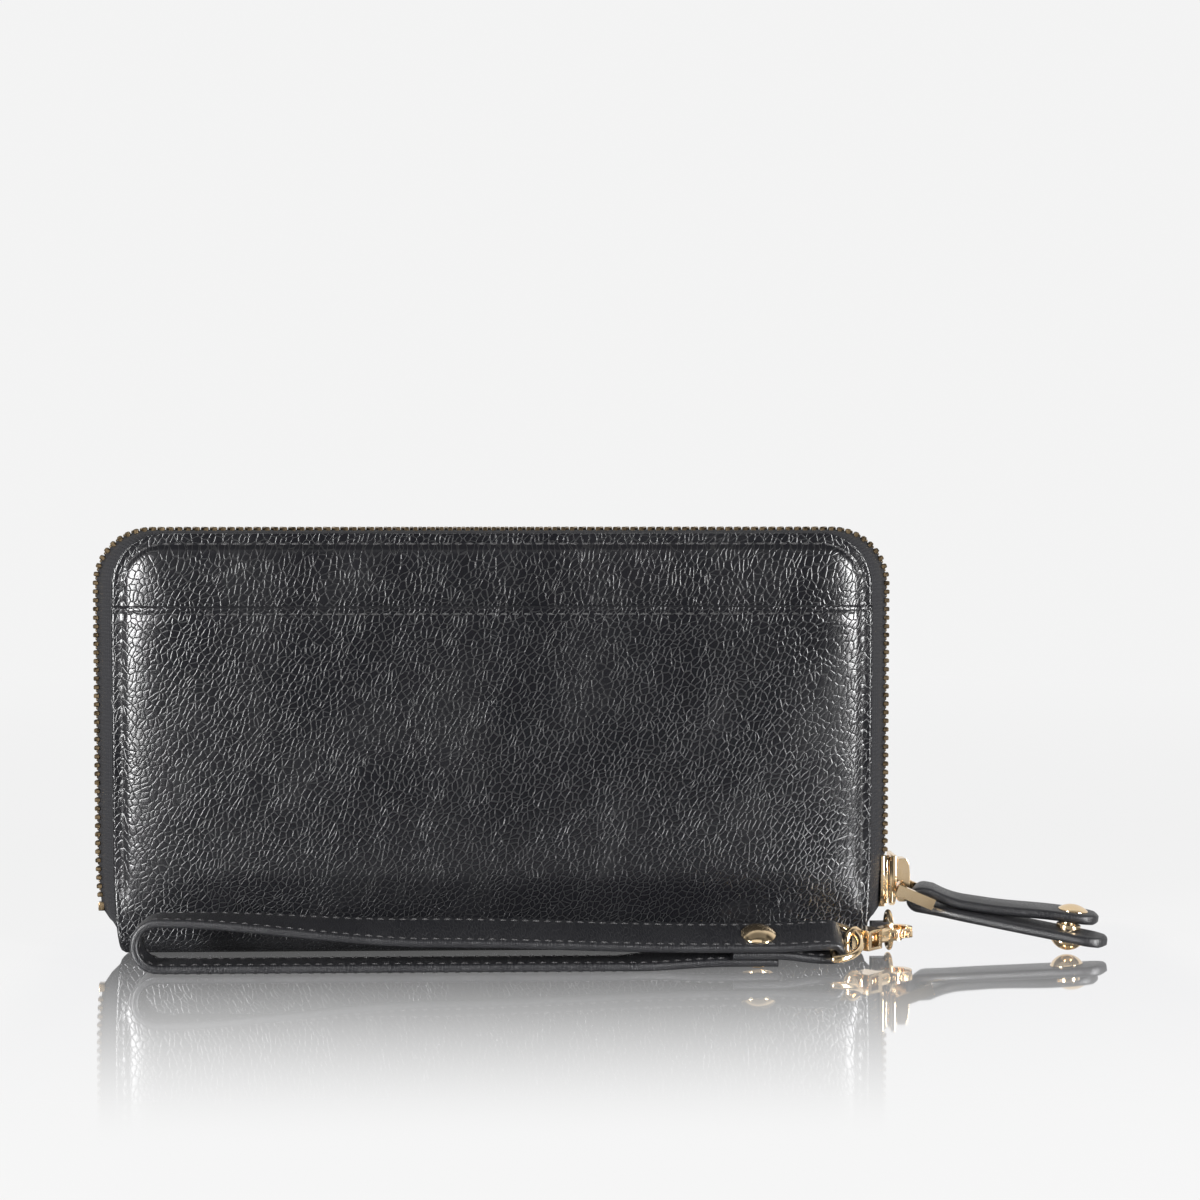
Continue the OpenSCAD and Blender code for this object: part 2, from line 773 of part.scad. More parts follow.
module coin_puller() {
    color(pale_gold) translate([coin_bar_x, 0, coin_slider_top + 1.4]) {
        rotate([90, 0, 0]) cylinder(h = 7, r = coin_bar_r, center = true);
        for (s = [-1, 1]) translate([-coin_bar_r, s * 3.1 - 0.5, -coin_bar_r]) cube([8, 1, 2 * coin_bar_r]);
        translate([6, -3.1, -coin_bar_r]) cube([9.5, 6.2, 2 * coin_bar_r]);
    }
}

front_cover_leather();
slip_pocket_panel();
front_cover_board();
front_lining();
spine_leather();
spine_board();
back_cover_leather();
back_cover_board();
back_lining();
zip_tape_front();
zip_tape_back();
zip_teeth_front();
zip_teeth_back();
zip_bottom_stops();
zip_end_tabs();
slider_body();
slider_bridge();
pull_ring();
pull_leaf_lower();
pull_leaf_upper();
snap_socket();
snap_socket_cap();
snap_stud();
snap_stud_cap();
ring_tab();
wallet_ring();
clasp_hook();
clasp_gate();
clasp_gate_pin();
clasp_gate_spring();
clasp_swivel_pin();
clasp_eye();
strap_ring();
wrist_strap();
strap_rivet_post();
strap_rivet_cap();
strap_rivet_back();
gusset_left();
gusset_right();
card_pockets_front();
card_pockets_back();
coin_pocket_front();
coin_pocket_back();
coin_pocket_base();
coin_zip_tape();
coin_zip_teeth();
coin_zip_stops();
coin_slider();
coin_puller();
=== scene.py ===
import json
import math
import bpy
import bmesh
from mathutils import Matrix, Vector, noise


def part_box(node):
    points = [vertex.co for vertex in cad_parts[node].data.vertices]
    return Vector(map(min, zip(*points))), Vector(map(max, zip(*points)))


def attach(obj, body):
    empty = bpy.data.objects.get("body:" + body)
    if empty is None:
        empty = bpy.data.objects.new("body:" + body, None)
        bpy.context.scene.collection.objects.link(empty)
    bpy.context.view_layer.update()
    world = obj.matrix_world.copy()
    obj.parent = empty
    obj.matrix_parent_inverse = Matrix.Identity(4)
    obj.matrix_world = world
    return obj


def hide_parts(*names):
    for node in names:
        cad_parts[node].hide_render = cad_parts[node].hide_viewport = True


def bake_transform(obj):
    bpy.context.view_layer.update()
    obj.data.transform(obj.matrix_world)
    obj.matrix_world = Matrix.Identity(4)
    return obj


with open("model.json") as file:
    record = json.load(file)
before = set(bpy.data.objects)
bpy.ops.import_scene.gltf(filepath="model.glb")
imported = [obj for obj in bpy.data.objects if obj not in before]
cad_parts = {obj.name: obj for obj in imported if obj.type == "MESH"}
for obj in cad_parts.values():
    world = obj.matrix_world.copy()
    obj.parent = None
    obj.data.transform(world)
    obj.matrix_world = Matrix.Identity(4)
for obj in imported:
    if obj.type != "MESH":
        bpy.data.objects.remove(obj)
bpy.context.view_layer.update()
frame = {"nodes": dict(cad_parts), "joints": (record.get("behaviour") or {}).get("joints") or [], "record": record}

# The table and the light: a pale table, polished in front of the wallet, before a plain bright
# backdrop and in a dark room. Two tall soft lamps stand at the sides, with a large one above and
# a faint one high in front. The camera looks straight on, a little from above.
MM = 0.001
scene = bpy.context.scene
scene.view_settings.view_transform = "Standard"
scene.view_settings.look = "None"


def new_object(name, mesh_maker, material=None):
    mesh = bpy.data.meshes.new(name)
    bm = bmesh.new()
    mesh_maker(bm)
    bm.to_mesh(mesh)
    bm.free()
    piece = bpy.data.objects.new(name, mesh)
    scene.collection.objects.link(piece)
    if material:
        mesh.materials.append(material)
    return piece


def new_material(name):
    """A material with its nodes, its links and its main shader."""
    mat = bpy.data.materials.new(name)
    mat.use_nodes = True
    tree = mat.node_tree
    return mat, tree.nodes, tree.links, tree.nodes["Principled BSDF"]


def ramp(nodes, links, source, low, high, to_low=0.0, to_high=1.0):
    """A smooth step of a value between two limits."""
    step = nodes.new("ShaderNodeMapRange")
    step.interpolation_type = "SMOOTHSTEP"
    step.inputs["From Min"].default_value = low
    step.inputs["From Max"].default_value = high
    step.inputs["To Min"].default_value = to_low
    step.inputs["To Max"].default_value = to_high
    links.new(source, step.inputs["Value"])
    return step.outputs["Result"]


def product(nodes, links, first, second):
    """Two values multiplied."""
    times = nodes.new("ShaderNodeMath")
    times.operation = "MULTIPLY"
    links.new(first, times.inputs[0])
    links.new(second, times.inputs[1])
    return times.outputs[0]


def table_mix(first, second, share=None):
    """Two shaders of the table, mixed by a share of the second."""
    mix = table_nodes.new("ShaderNodeMixShader")
    table_links.new(first, mix.inputs[1])
    table_links.new(second, mix.inputs[2])
    if share is not None:
        table_links.new(share, mix.inputs["Fac"])
    return mix


def table_ramp(source, *limits):
    return ramp(table_nodes, table_links, source, *limits)


PALE = 0.9
TABLE_REACH = 4.0
POLISH_MIDDLE = 0.03
table_mat, table_nodes, table_links, table_shader = new_material("table_gloss")
table_shader.inputs["Base Color"].default_value = (0.42, 0.42, 0.42, 1)
table_shader.inputs["Roughness"].default_value = 0.6
table_shader.inputs["Specular IOR Level"].default_value = 0.0
table_polish = table_nodes.new("ShaderNodeBsdfGlossy")
table_polish.inputs["Roughness"].default_value = 0.035
table_polish.inputs["Color"].default_value = (0.97, 0.97, 0.98, 1)
# A near-black surface that only glossy rays see: a painted dark reflection, not a real cloth.
table_reflected_dark = table_nodes.new("ShaderNodeBsdfDiffuse")
table_reflected_dark.inputs["Color"].default_value = (0.01, 0.01, 0.01, 1)
table_glow = table_nodes.new("ShaderNodeEmission")
table_glow.inputs["Color"].default_value = (PALE, PALE, PALE, 1)
table_place = table_nodes.new("ShaderNodeTexCoord")
table_split = table_nodes.new("ShaderNodeSeparateXYZ")
table_links.new(table_place.outputs["Object"], table_split.inputs["Vector"])
table_x, table_y = table_split.outputs["X"], table_split.outputs["Y"]
table_far = table_nodes.new("ShaderNodeVectorMath")
table_far.operation = "LENGTH"
table_links.new(table_place.outputs["Object"], table_far.inputs[0])
table_width = table_nodes.new("ShaderNodeMath")
table_width.operation = "SUBTRACT"
table_width.inputs[1].default_value = POLISH_MIDDLE
table_links.new(table_x, table_width.inputs[0])
table_aside = table_nodes.new("ShaderNodeMath")
table_aside.operation = "ABSOLUTE"
table_links.new(table_width.outputs[0], table_aside.inputs[0])
polish_front = table_ramp(table_y, -0.19, 0.0, 0.0, 0.9)
polish_behind = table_ramp(table_y, 0.012, 0.03, 1.0, 0.08)
polish_beside = table_ramp(table_aside.outputs[0], 0.128, 0.15, 1.0, 0.0)
polish_share = product(table_nodes, table_links, polish_front, polish_behind)
polish_share = product(table_nodes, table_links, polish_share, polish_beside)
table_plain = table_mix(table_shader.outputs["BSDF"], table_glow.outputs["Emission"])
table_plain.inputs["Fac"].default_value = 0.94
table_near = table_mix(table_plain.outputs["Shader"], table_polish.outputs["BSDF"], polish_share)
far_share = table_ramp(table_far.outputs["Value"], 0.2, 0.9)
table_whole = table_mix(table_near.outputs["Shader"], table_glow.outputs["Emission"], far_share)
table_ray = table_nodes.new("ShaderNodeLightPath")
# Glossy rays that reach the table in front of the wallet find it painted near-black, a painted reflection of the
# dark room; the camera still sees the pale table.
reflected_dark_share = table_ramp(table_y, -0.26, -0.12, 1.0, 0.0)
reflected_dark_share = product(table_nodes, table_links, table_ray.outputs["Is Glossy Ray"], reflected_dark_share)
table_last = table_mix(table_whole.outputs["Shader"], table_reflected_dark.outputs["BSDF"], reflected_dark_share)
table_links.new(table_last.outputs["Shader"], table_nodes["Material Output"].inputs["Surface"])


def table_shape(bm):
    bmesh.ops.create_grid(bm, x_segments=2, y_segments=2, size=TABLE_REACH)
    bmesh.ops.translate(bm, verts=bm.verts, vec=(0, 0, -0.2 * MM))


table = new_object("table_top", table_shape, table_mat)

world = bpy.data.worlds.new("studio")
scene.world = world
world.use_nodes = True
world_nodes, world_links = world.node_tree.nodes, world.node_tree.links
world_place = world_nodes.new("ShaderNodeTexCoord")
world_split = world_nodes.new("ShaderNodeSeparateXYZ")
world_links.new(world_place.outputs["Generated"], world_split.inputs["Vector"])
world_bright = ramp(world_nodes, world_links, world_split.outputs["Y"], -0.1, 0.35, 0.035, PALE)
world_ray = world_nodes.new("ShaderNodeLightPath")
world_seen = world_nodes.new("ShaderNodeMix")
world_seen.inputs["B"].default_value = PALE
world_links.new(world_ray.outputs["Is Camera Ray"], world_seen.inputs["Factor"])
world_links.new(world_bright, world_seen.inputs["A"])
world_links.new(world_seen.outputs["Result"], world_nodes["Background"].inputs["Strength"])
world_nodes["Background"].inputs["Color"].default_value = (1, 1, 1, 1)

LAMP_AIM = Vector((0, 0, 50 * MM))
LAMPS = {
    "left_softbox": ((-0.55, -0.5, 0.2), (0.2, 0.4), 20.5),
    "right_softbox": ((0.58, -0.48, 0.22), (0.2, 0.42), 19.8),
    "top_softbox": ((0.0, -0.1, 0.95), (1.3, 0.8), 0.6),
    "high_front": ((-0.1, -0.75, 0.8), (0.9, 0.22), 0.7),
}
for name, (place, size, power) in LAMPS.items():
    lamp = bpy.data.lights.new(name, "AREA")
    lamp.shape = "RECTANGLE"
    lamp.size, lamp.size_y = size
    lamp.energy = power
    holder = bpy.data.objects.new(name, lamp)
    holder.location = place
    holder.rotation_euler = (LAMP_AIM - Vector(place)).to_track_quat("-Z", "Y").to_euler()
    scene.collection.objects.link(holder)

camera_data = bpy.data.cameras.new("camera")
camera_data.lens = 72.5
camera_data.sensor_width = 36
camera_data.shift_x = 0.0455
camera_data.clip_start = 0.01
camera = bpy.data.objects.new("camera", camera_data)
camera.location = (-0.006, -0.61475, 0.117)
camera.rotation_euler = (math.radians(90 - 2.72), 0, math.radians(-1.8))
scene.collection.objects.link(camera)
scene.camera = camera

# The outer leather: two hides of soft pebbled cowhide, glued over their boards. One covers the
# slip-pocket side and goes round the spine, the other covers the back. They stand out full between
# the stitch line and the middle, and the cut edge is painted.
drawn_back = 2.6 * MM
half_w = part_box("front_cover_leather")[1][0] - drawn_back
cover_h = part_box("front_cover_leather")[1][2]
cover_y = -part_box("front_cover_leather")[0][1]
pocket_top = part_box("slip_pocket_panel")[1][2]
bend_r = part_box("front_cover_leather")[0][2]
top_r = 13 * MM
hide_t = 1.3 * MM
stitch_in = 2.6 * MM


def edge_half_width(z):
    """Half the width of a cover at a height, between its round corners."""
    if z > cover_h - top_r:
        up = min(z - (cover_h - top_r), top_r)
        return half_w - top_r + math.sqrt(max(top_r**2 - up**2, 0))
    drawn_in = 1.9 * MM * (max(26 * MM - z, 0) / (26 * MM)) ** 2
    return half_w - drawn_in - 1.2 * MM * max(1 - z / (1.5 * MM), 0) ** 2


def from_edge(x, z):
    """How far a point of a cover is from the nearest cut edge; the spine side has none."""
    x = abs(x)
    if z > cover_h - top_r and x > half_w - top_r:
        return top_r - math.hypot(x - half_w + top_r, z - cover_h + top_r)
    return min(half_w - x, cover_h - z)


def puff(x, z):
    """How far the hide stands out: low at the edge, drawn in at the stitches, full inside."""
    d = max(from_edge(x, z), 0)
    full = 2.2 * MM * (1 - math.exp(-max(d - 1.2 * MM, 0) / (5 * MM)))
    full += 2.2 * MM * (1 - math.exp(-max(d - 1.2 * MM, 0) / (22 * MM)))
    groove = 0.55 * MM * math.exp(-(((d - stitch_in) / (0.75 * MM)) ** 2))
    waves = 0.22 * MM * noise.noise(Vector((x * 38, z * 52, 2.7)))
    pucker = 0.1 * MM * noise.noise(Vector((x * 260, z * 260, 9.1))) * math.exp(-d / (9 * MM))
    return full - groove - 1.6 * MM + (waves + pucker) * min(d / (4 * MM), 1)


def hide_rows():
    """Heights of the grid's rows, close together at the round corners."""
    straight = 14 * MM
    rows = [bend_r + (cover_h - straight - bend_r) * i / 64 for i in range(65)]
    rows = [z for z in rows if z < cover_h - straight]
    return rows + [cover_h - top_r * (1 - math.sin(math.pi / 2 * i / 22)) for i in range(23)]


def hide_column(i, n, half):
    """Place of a column across the hide: finer towards both ends."""
    t = 2 * i / n - 1
    return half * (0.55 * t + 0.45 * math.sin(t * math.pi / 2))


def ring_section(rows, columns, place):
    """A maker of a grid whose vertices are put in place by row and column."""

    def make(bm):
        bmesh.ops.create_grid(bm, x_segments=columns, y_segments=rows, size=1)
        for v in bm.verts:
            column = round((v.co.x + 1) / 2 * columns)
            row = round((v.co.y + 1) / 2 * rows)
            v.co = place(row, column)

    return make


GRAIN_LEAN = math.radians(32)
GRAIN_LONG = 1.6


def leather_material(name, colour, grain, depth, rough, painted_crease_light, shine):
    """Cowhide: flat smooth pebbles of a given size, parted by a net of narrow creases whose colour is painted
    lighter, a painted highlight for the light their flanks catch.
    """
    mat, nodes, links, shader = new_material(name)
    place = nodes.new("ShaderNodeTexCoord")
    bend = nodes.new("ShaderNodeTexNoise")
    bend.inputs["Scale"].default_value = 0.14 / grain
    bend.inputs["Detail"].default_value = 3
    push = nodes.new("ShaderNodeMixRGB")
    push.blend_type = "LINEAR_LIGHT"
    push.inputs["Fac"].default_value = grain * 1.2
    apart = nodes.new("ShaderNodeSeparateXYZ")
    around = nodes.new("ShaderNodeMath")
    around.operation = "SUBTRACT"
    spread = nodes.new("ShaderNodeCombineXYZ")
    stretch = nodes.new("ShaderNodeMapping")
    stretch.vector_type = "TEXTURE"
    stretch.inputs["Rotation"].default_value = (0, 0, -GRAIN_LEAN)
    stretch.inputs["Scale"].default_value = (1, GRAIN_LONG, 1)
    links.new(place.outputs["Object"], bend.inputs["Vector"])
    links.new(place.outputs["Object"], push.inputs["Color1"])
    links.new(bend.outputs["Color"], push.inputs["Color2"])
    links.new(push.outputs["Color"], apart.inputs["Vector"])
    links.new(apart.outputs["Z"], around.inputs[0])
    links.new(apart.outputs["Y"], around.inputs[1])
    links.new(apart.outputs["X"], spread.inputs["X"])
    links.new(around.outputs[0], spread.inputs["Y"])
    links.new(spread.outputs["Vector"], stretch.inputs["Vector"])
    cells = nodes.new("ShaderNodeTexVoronoi")
    cells.feature = "DISTANCE_TO_EDGE"
    cells.voronoi_dimensions = "2D"
    cells.inputs["Scale"].default_value = 1 / grain
    fine = nodes.new("ShaderNodeTexVoronoi")
    fine.feature = "DISTANCE_TO_EDGE"
    fine.voronoi_dimensions = "2D"
    fine.inputs["Scale"].default_value = 2.1 / grain
    pores = nodes.new("ShaderNodeTexNoise")
    pores.inputs["Scale"].default_value = 5 / grain
    pores.inputs["Detail"].default_value = 4
    patch = nodes.new("ShaderNodeTexNoise")
    patch.inputs["Scale"].default_value = 0.06 / grain
    patch.inputs["Detail"].default_value = 3
    for texture in (cells, fine, pores, patch):
        links.new(stretch.outputs["Vector"], texture.inputs["Vector"])
    crease = ramp(nodes, links, cells.outputs["Distance"], 0.0, 0.14)
    dome = ramp(nodes, links, cells.outputs["Distance"], 0.0, 0.6, 0.0, 0.5)
    thin = ramp(nodes, links, fine.outputs["Distance"], 0.0, 0.2, 0.0, 0.16)
    total = crease
    for part, share in ((dome, 1.0), (thin, 1.0), (pores.outputs["Fac"], 0.22)):
        adding = nodes.new("ShaderNodeMath")
        adding.operation = "MULTIPLY_ADD"
        adding.inputs[1].default_value = share
        links.new(part, adding.inputs[0])
        links.new(total, adding.inputs[2])
        total = adding.outputs[0]
    relief = nodes.new("ShaderNodeBump")
    relief.inputs["Distance"].default_value = depth
    links.new(total, relief.inputs["Height"])
    links.new(relief.outputs["Normal"], shader.inputs["Normal"])
    # The creases are painted lighter than the pebbles: a painted highlight standing in for the light that catches
    # their flanks.
    shade = nodes.new("ShaderNodeMixRGB")
    shade.inputs["Color1"].default_value = (painted_crease_light, painted_crease_light, painted_crease_light * 1.06, 1)
    shade.inputs["Color2"].default_value = list(colour) + [1]
    line = ramp(nodes, links, cells.outputs["Distance"], 0.01, 0.085)
    links.new(line, shade.inputs["Fac"])
    links.new(shade.outputs["Color"], shader.inputs["Base Color"])
    gloss = ramp(nodes, links, patch.outputs["Fac"], 0.3, 0.7, rough - 0.05, rough + 0.06)
    dull = nodes.new("ShaderNodeMix")
    dull.inputs["A"].default_value = 0.6
    links.new(line, dull.inputs["Factor"])
    links.new(gloss, dull.inputs["B"])
    links.new(dull.outputs["Result"], shader.inputs["Roughness"])
    sheen = ramp(nodes, links, cells.outputs["Distance"], 0.01, 0.085, 0.1, shine)
    links.new(sheen, shader.inputs["Specular IOR Level"])
    return mat


def edge_paint(name, colour):
    """Rubbery paint, wiped along the cut edge in several coats and left a little wavy."""
    mat, nodes, links, shader = new_material(name)
    shader.inputs["Base Color"].default_value = list(colour) + [1]
    shader.inputs["Specular IOR Level"].default_value = 0.6
    place = nodes.new("ShaderNodeTexCoord")
    ripple = nodes.new("ShaderNodeTexNoise")
    ripple.inputs["Scale"].default_value = 900
    ripple.inputs["Detail"].default_value = 3
    links.new(place.outputs["Object"], ripple.inputs["Vector"])
    relief = nodes.new("ShaderNodeBump")
    relief.inputs["Strength"].default_value = 0.5
    relief.inputs["Distance"].default_value = 0.00012
    links.new(ripple.outputs["Fac"], relief.inputs["Height"])
    links.new(relief.outputs["Normal"], shader.inputs["Normal"])
    gloss = nodes.new("ShaderNodeMapRange")
    gloss.inputs["To Min"].default_value = 0.22
    gloss.inputs["To Max"].default_value = 0.42
    links.new(ripple.outputs["Fac"], gloss.inputs["Value"])
    links.new(gloss.outputs["Result"], shader.inputs["Roughness"])
    return mat


HIDE_BLACK = (0.0024, 0.0024, 0.003)
# The sixth value, 0.005, is the creases' painted highlight colour, lighter than the pebbles.
hide_mat = leather_material("pebbled_cowhide", HIDE_BLACK, 1.25 * MM, 0.04 * MM, 0.235, 0.005, 0.32)
hide_edge_mat = edge_paint("hide_edge_paint", (0.005, 0.005, 0.006))


def thicken(piece, thickness, edge_mat=None):
    """Gives a skin its thickness on the inner side; its cut edge takes the second material."""
    wall = piece.modifiers.new("thickness", "SOLIDIFY")
    wall.thickness = thickness
    wall.offset = -1.0
    if edge_mat:
        piece.data.materials.append(edge_mat)
        wall.material_offset_rim = 1
    return wall


def smooth(piece, degrees=180):
    piece.data.shade_smooth()
    if degrees < 180:
        piece.data.set_sharp_from_angle(angle=math.radians(degrees))
    return piece


def face_towards(piece, direction):
    """Turns an open skin's faces so that its middle looks in a direction."""
    mesh = piece.data
    total = sum((p.normal.dot(Vector(direction)) for p in mesh.polygons), 0.0)
    if total < 0:
        mesh.flip_normals()


FRONT_COLUMNS = 150
front_heights = hide_rows()[::-1]
BEND_STEPS = 10
BOTTOM_STEPS = 8
flat_y = cover_y - bend_r
hide_line = [("front", z) for z in front_heights]
hide_line += [("front_bend", math.pi / 2 * i / BEND_STEPS) for i in range(1, BEND_STEPS + 1)]
hide_line += [("bottom", -flat_y + 2 * flat_y * i / BOTTOM_STEPS) for i in range(1, BOTTOM_STEPS)]
hide_line += [("back_bend", math.pi / 2 * (1 - i / BEND_STEPS)) for i in range(BEND_STEPS + 1)]


def fade_low(z):
    """The puff dies out towards the spine, where the hide is stretched round the bend."""
    t = min(max((z - bend_r) / (16 * MM), 0), 1)
    return t * t * (3 - 2 * t)


def front_hide_place(row, column):
    kind, value = hide_line[row]
    if kind == "front":
        x = hide_column(column, FRONT_COLUMNS, edge_half_width(value))
        return (x, -(cover_y + puff(x, value) * fade_low(value)), value)
    if kind == "bottom":
        return (hide_column(column, FRONT_COLUMNS, edge_half_width(0)), value, 0)
    side = -1 if kind == "front_bend" else 1
    z = bend_r * (1 - math.sin(value))
    x = hide_column(column, FRONT_COLUMNS, edge_half_width(z))
    return (x, side * (flat_y + bend_r * math.cos(value)), z)


front_hide_shape = ring_section(len(hide_line) - 1, FRONT_COLUMNS, front_hide_place)
front_hide = new_object("front_hide", front_hide_shape, hide_mat)
face_towards(front_hide, (0, -1, 0))
thicken(front_hide, hide_t, hide_edge_mat)
smooth(front_hide, 50)
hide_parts("front_cover_leather", "spine_leather")
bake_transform(front_hide)


def back_hide_place(row, column):
    z = front_heights[row]
    x = hide_column(column, FRONT_COLUMNS, edge_half_width(z))
    return (x, cover_y + puff(x, z) * fade_low(z), z)


back_hide_shape = ring_section(len(front_heights) - 1, FRONT_COLUMNS, back_hide_place)
back_hide = new_object("back_hide", back_hide_shape, hide_mat)
face_towards(back_hide, (0, 1, 0))
thicken(back_hide, hide_t, hide_edge_mat)
smooth(back_hide, 50)
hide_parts("back_cover_leather")
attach(back_hide, "back_half")

# The slip pocket: a second panel of the same hide, cut a little lower, turned in along its top
# edge and sewn to the cover down both sides, so that papers slide in behind it.
POCKET_ROWS = 78
pocket_lift = 1.15 * MM
pocket_foot = math.radians(55)
FOOT_START = 0.93
mouth_in = 1.9 * MM
mouth_slack = 0.45 * MM


def pocket_place(row, column):
    t = row / POCKET_ROWS
    if t > FOOT_START:
        angle = pocket_foot * (t - FOOT_START) / 0.07
        radius = bend_r + pocket_lift
        z = bend_r - radius * math.sin(angle)
        x = hide_column(column, FRONT_COLUMNS, edge_half_width(max(z, 0)))
        return (x, -(flat_y + radius * math.cos(angle)), max(z, 0.15 * MM))
    z = pocket_top + (bend_r - pocket_top) * t / FOOT_START
    half = edge_half_width(z)
    x = hide_column(column, FRONT_COLUMNS, half)
    below = pocket_top - z
    slack = mouth_slack * math.exp(-below / (5 * MM)) * min((half - abs(x)) / (12 * MM), 1)
    seam = 0.4 * MM * math.exp(-(((below - mouth_in) / (0.7 * MM)) ** 2))
    swell = 0.35 * MM * noise.noise(Vector((x * 24, z * 30, 5.5))) * min((half - abs(x)) / (20 * MM), 1)
    out = puff(x, z) * fade_low(z) + pocket_lift + slack - seam + swell
    return (x, -(cover_y + out), z)


pocket = new_object("slip_pocket", ring_section(POCKET_ROWS, FRONT_COLUMNS, pocket_place), hide_mat)
face_towards(pocket, (0, -1, 0))
thicken(pocket, 1.1 * MM, hide_edge_mat)
smooth(pocket, 50)
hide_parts("slip_pocket_panel")
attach(pocket, "root")

# The stitching: bonded polyester thread, about nine stitches to the inch, pulled down into the
# leather. It runs round each cover just inside the cut edge and along the pocket's mouth.
thread_mat, thread_nodes, thread_links, thread_shader = new_material("sewing_thread")
thread_shader.inputs["Base Color"].default_value = (0.008, 0.0075, 0.008, 1)
thread_shader.inputs["Roughness"].default_value = 0.5
thread_shader.inputs["Specular IOR Level"].default_value = 0.35
thread_place = thread_nodes.new("ShaderNodeTexCoord")
thread_twist = thread_nodes.new("ShaderNodeTexWave")
thread_twist.bands_direction = "DIAGONAL"
thread_twist.inputs["Scale"].default_value = 1500
thread_relief = thread_nodes.new("ShaderNodeBump")
thread_relief.inputs["Distance"].default_value = 0.00008
thread_links.new(thread_place.outputs["Object"], thread_twist.inputs["Vector"])
thread_links.new(thread_twist.outputs["Fac"], thread_relief.inputs["Height"])
thread_links.new(thread_relief.outputs["Normal"], thread_shader.inputs["Normal"])
STITCH_PITCH = 2.9 * MM
STITCH_FOOT = 9 * MM
PERIMETER_STEPS = 60


def stitch_line(name, points, normals, body, slot, pitch=STITCH_PITCH, size=0.5 * MM):
    """Lays one plump stitch after another along a line on the leather's surface."""
    lengths = [0.0]
    for a, b in zip(points, points[1:]):
        lengths.append(lengths[-1] + (b - a).length)

    def at(s):
        i = 0
        while i < len(points) - 2 and lengths[i + 1] < s:
            i += 1
        t = (s - lengths[i]) / max(lengths[i + 1] - lengths[i], 1e-9)
        return points[i].lerp(points[i + 1], t), normals[i].lerp(normals[i + 1], t).normalized()

    def make(bm):
        count = int(lengths[-1] / pitch)
        for k in range(count):
            start, up = at((k + 0.12) * pitch)
            finish, _ = at((k + 0.88) * pitch)
            run = finish - start
            side = run.cross(up).normalized()
            up = side.cross(run).normalized()
            turn = Matrix((side, run.normalized(), up)).transposed().to_4x4()
            new = bmesh.ops.create_icosphere(bm, subdivisions=2, radius=1)["verts"]
            bmesh.ops.scale(bm, verts=new, vec=(size * 0.62, run.length / 2, size * 0.55))
            for v in new:
                pull = (v.co.y / (run.length / 2)) ** 2
                v.co.z -= size * 0.55 * pull
            middle = (start + finish) / 2 + up * size * 0.12
            bmesh.ops.transform(bm, matrix=Matrix.Translation(middle) @ turn, verts=new)

    piece = smooth(new_object(name, make, thread_mat))
    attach(piece, body)
    return piece


def perimeter(inset, side, lift, top=None):
    """Points and normals of a line round a cover, a set distance inside its edge."""
    outline = []
    limit = top if top else cover_h - top_r
    for i in range(PERIMETER_STEPS + 1):
        z = STITCH_FOOT + (limit - STITCH_FOOT) * i / PERIMETER_STEPS
        outline.append((-(edge_half_width(z) - inset), z))
    if top is None:
        r = top_r - inset
        for i in range(1, 12):
            a = math.pi - math.pi / 2 * i / 12
            outline.append((-half_w + top_r + r * math.cos(a), cover_h - top_r + r * math.sin(a)))
        across = half_w - top_r
        outline += [(-across + 2 * across * i / 90, cover_h - inset) for i in range(91)]
        outline += [(-x, z) for x, z in outline[: PERIMETER_STEPS + 12][::-1]]
    points = [Vector((x, side * (cover_y + puff(x, z) * fade_low(z) + lift), z)) for x, z in outline]
    return points, [Vector((0, side, 0))] * len(points)


stitch_line("front_perimeter_stitches", *perimeter(stitch_in, -1, 0.05 * MM), "root", "pebbled_leather")
stitch_line("back_perimeter_stitches", *perimeter(stitch_in, 1, 0.05 * MM), "back_half", "pebbled_leather")
left_side = perimeter(stitch_in, -1, pocket_lift + 0.05 * MM, top=pocket_top - 1 * MM)
stitch_line("pocket_left_stitches", *left_side, "root", "pebbled_leather")
right_points = [Vector((-p.x, p.y, p.z)) for p in left_side[0]]
stitch_line("pocket_right_stitches", right_points, left_side[1], "root", "pebbled_leather")
mouth_z = pocket_top - mouth_in
mouth_points = []
for i in range(121):
    mouth_x = (half_w - 3.5 * MM) * (2 * i / 120 - 1)
    slack = mouth_slack * math.exp(-mouth_in / (5 * MM)) * min((half_w - abs(mouth_x)) / (12 * MM), 1)
    out = puff(mouth_x, mouth_z) + pocket_lift + slack - 0.32 * MM
    mouth_points.append(Vector((mouth_x, -(cover_y + out), mouth_z)))
stitch_line("pocket_mouth_stitches", mouth_points, [Vector((0, -1, 0))] * 121, "root", "pebbled_leather")

# The zip tape: black woven polyester, sewn in between hide and lining and brought out past the
# edge to the teeth. Each half is one strip that follows the cover up, across and down.
zip_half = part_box("zip_teeth_front")[1][0] - 1.5 * MM
zip_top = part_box("zip_teeth_front")[1][2] - 0.9 * MM
side_out = zip_half - half_w
sewn_in = 1.2 * MM
zip_r = top_r + (zip_top - cover_h)
teeth_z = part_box("zip_teeth_front")[0][2]
tape_foot = 2.5 * MM
TAPE_SIDE, TAPE_TURN, TAPE_TOP = 40, 16, 80


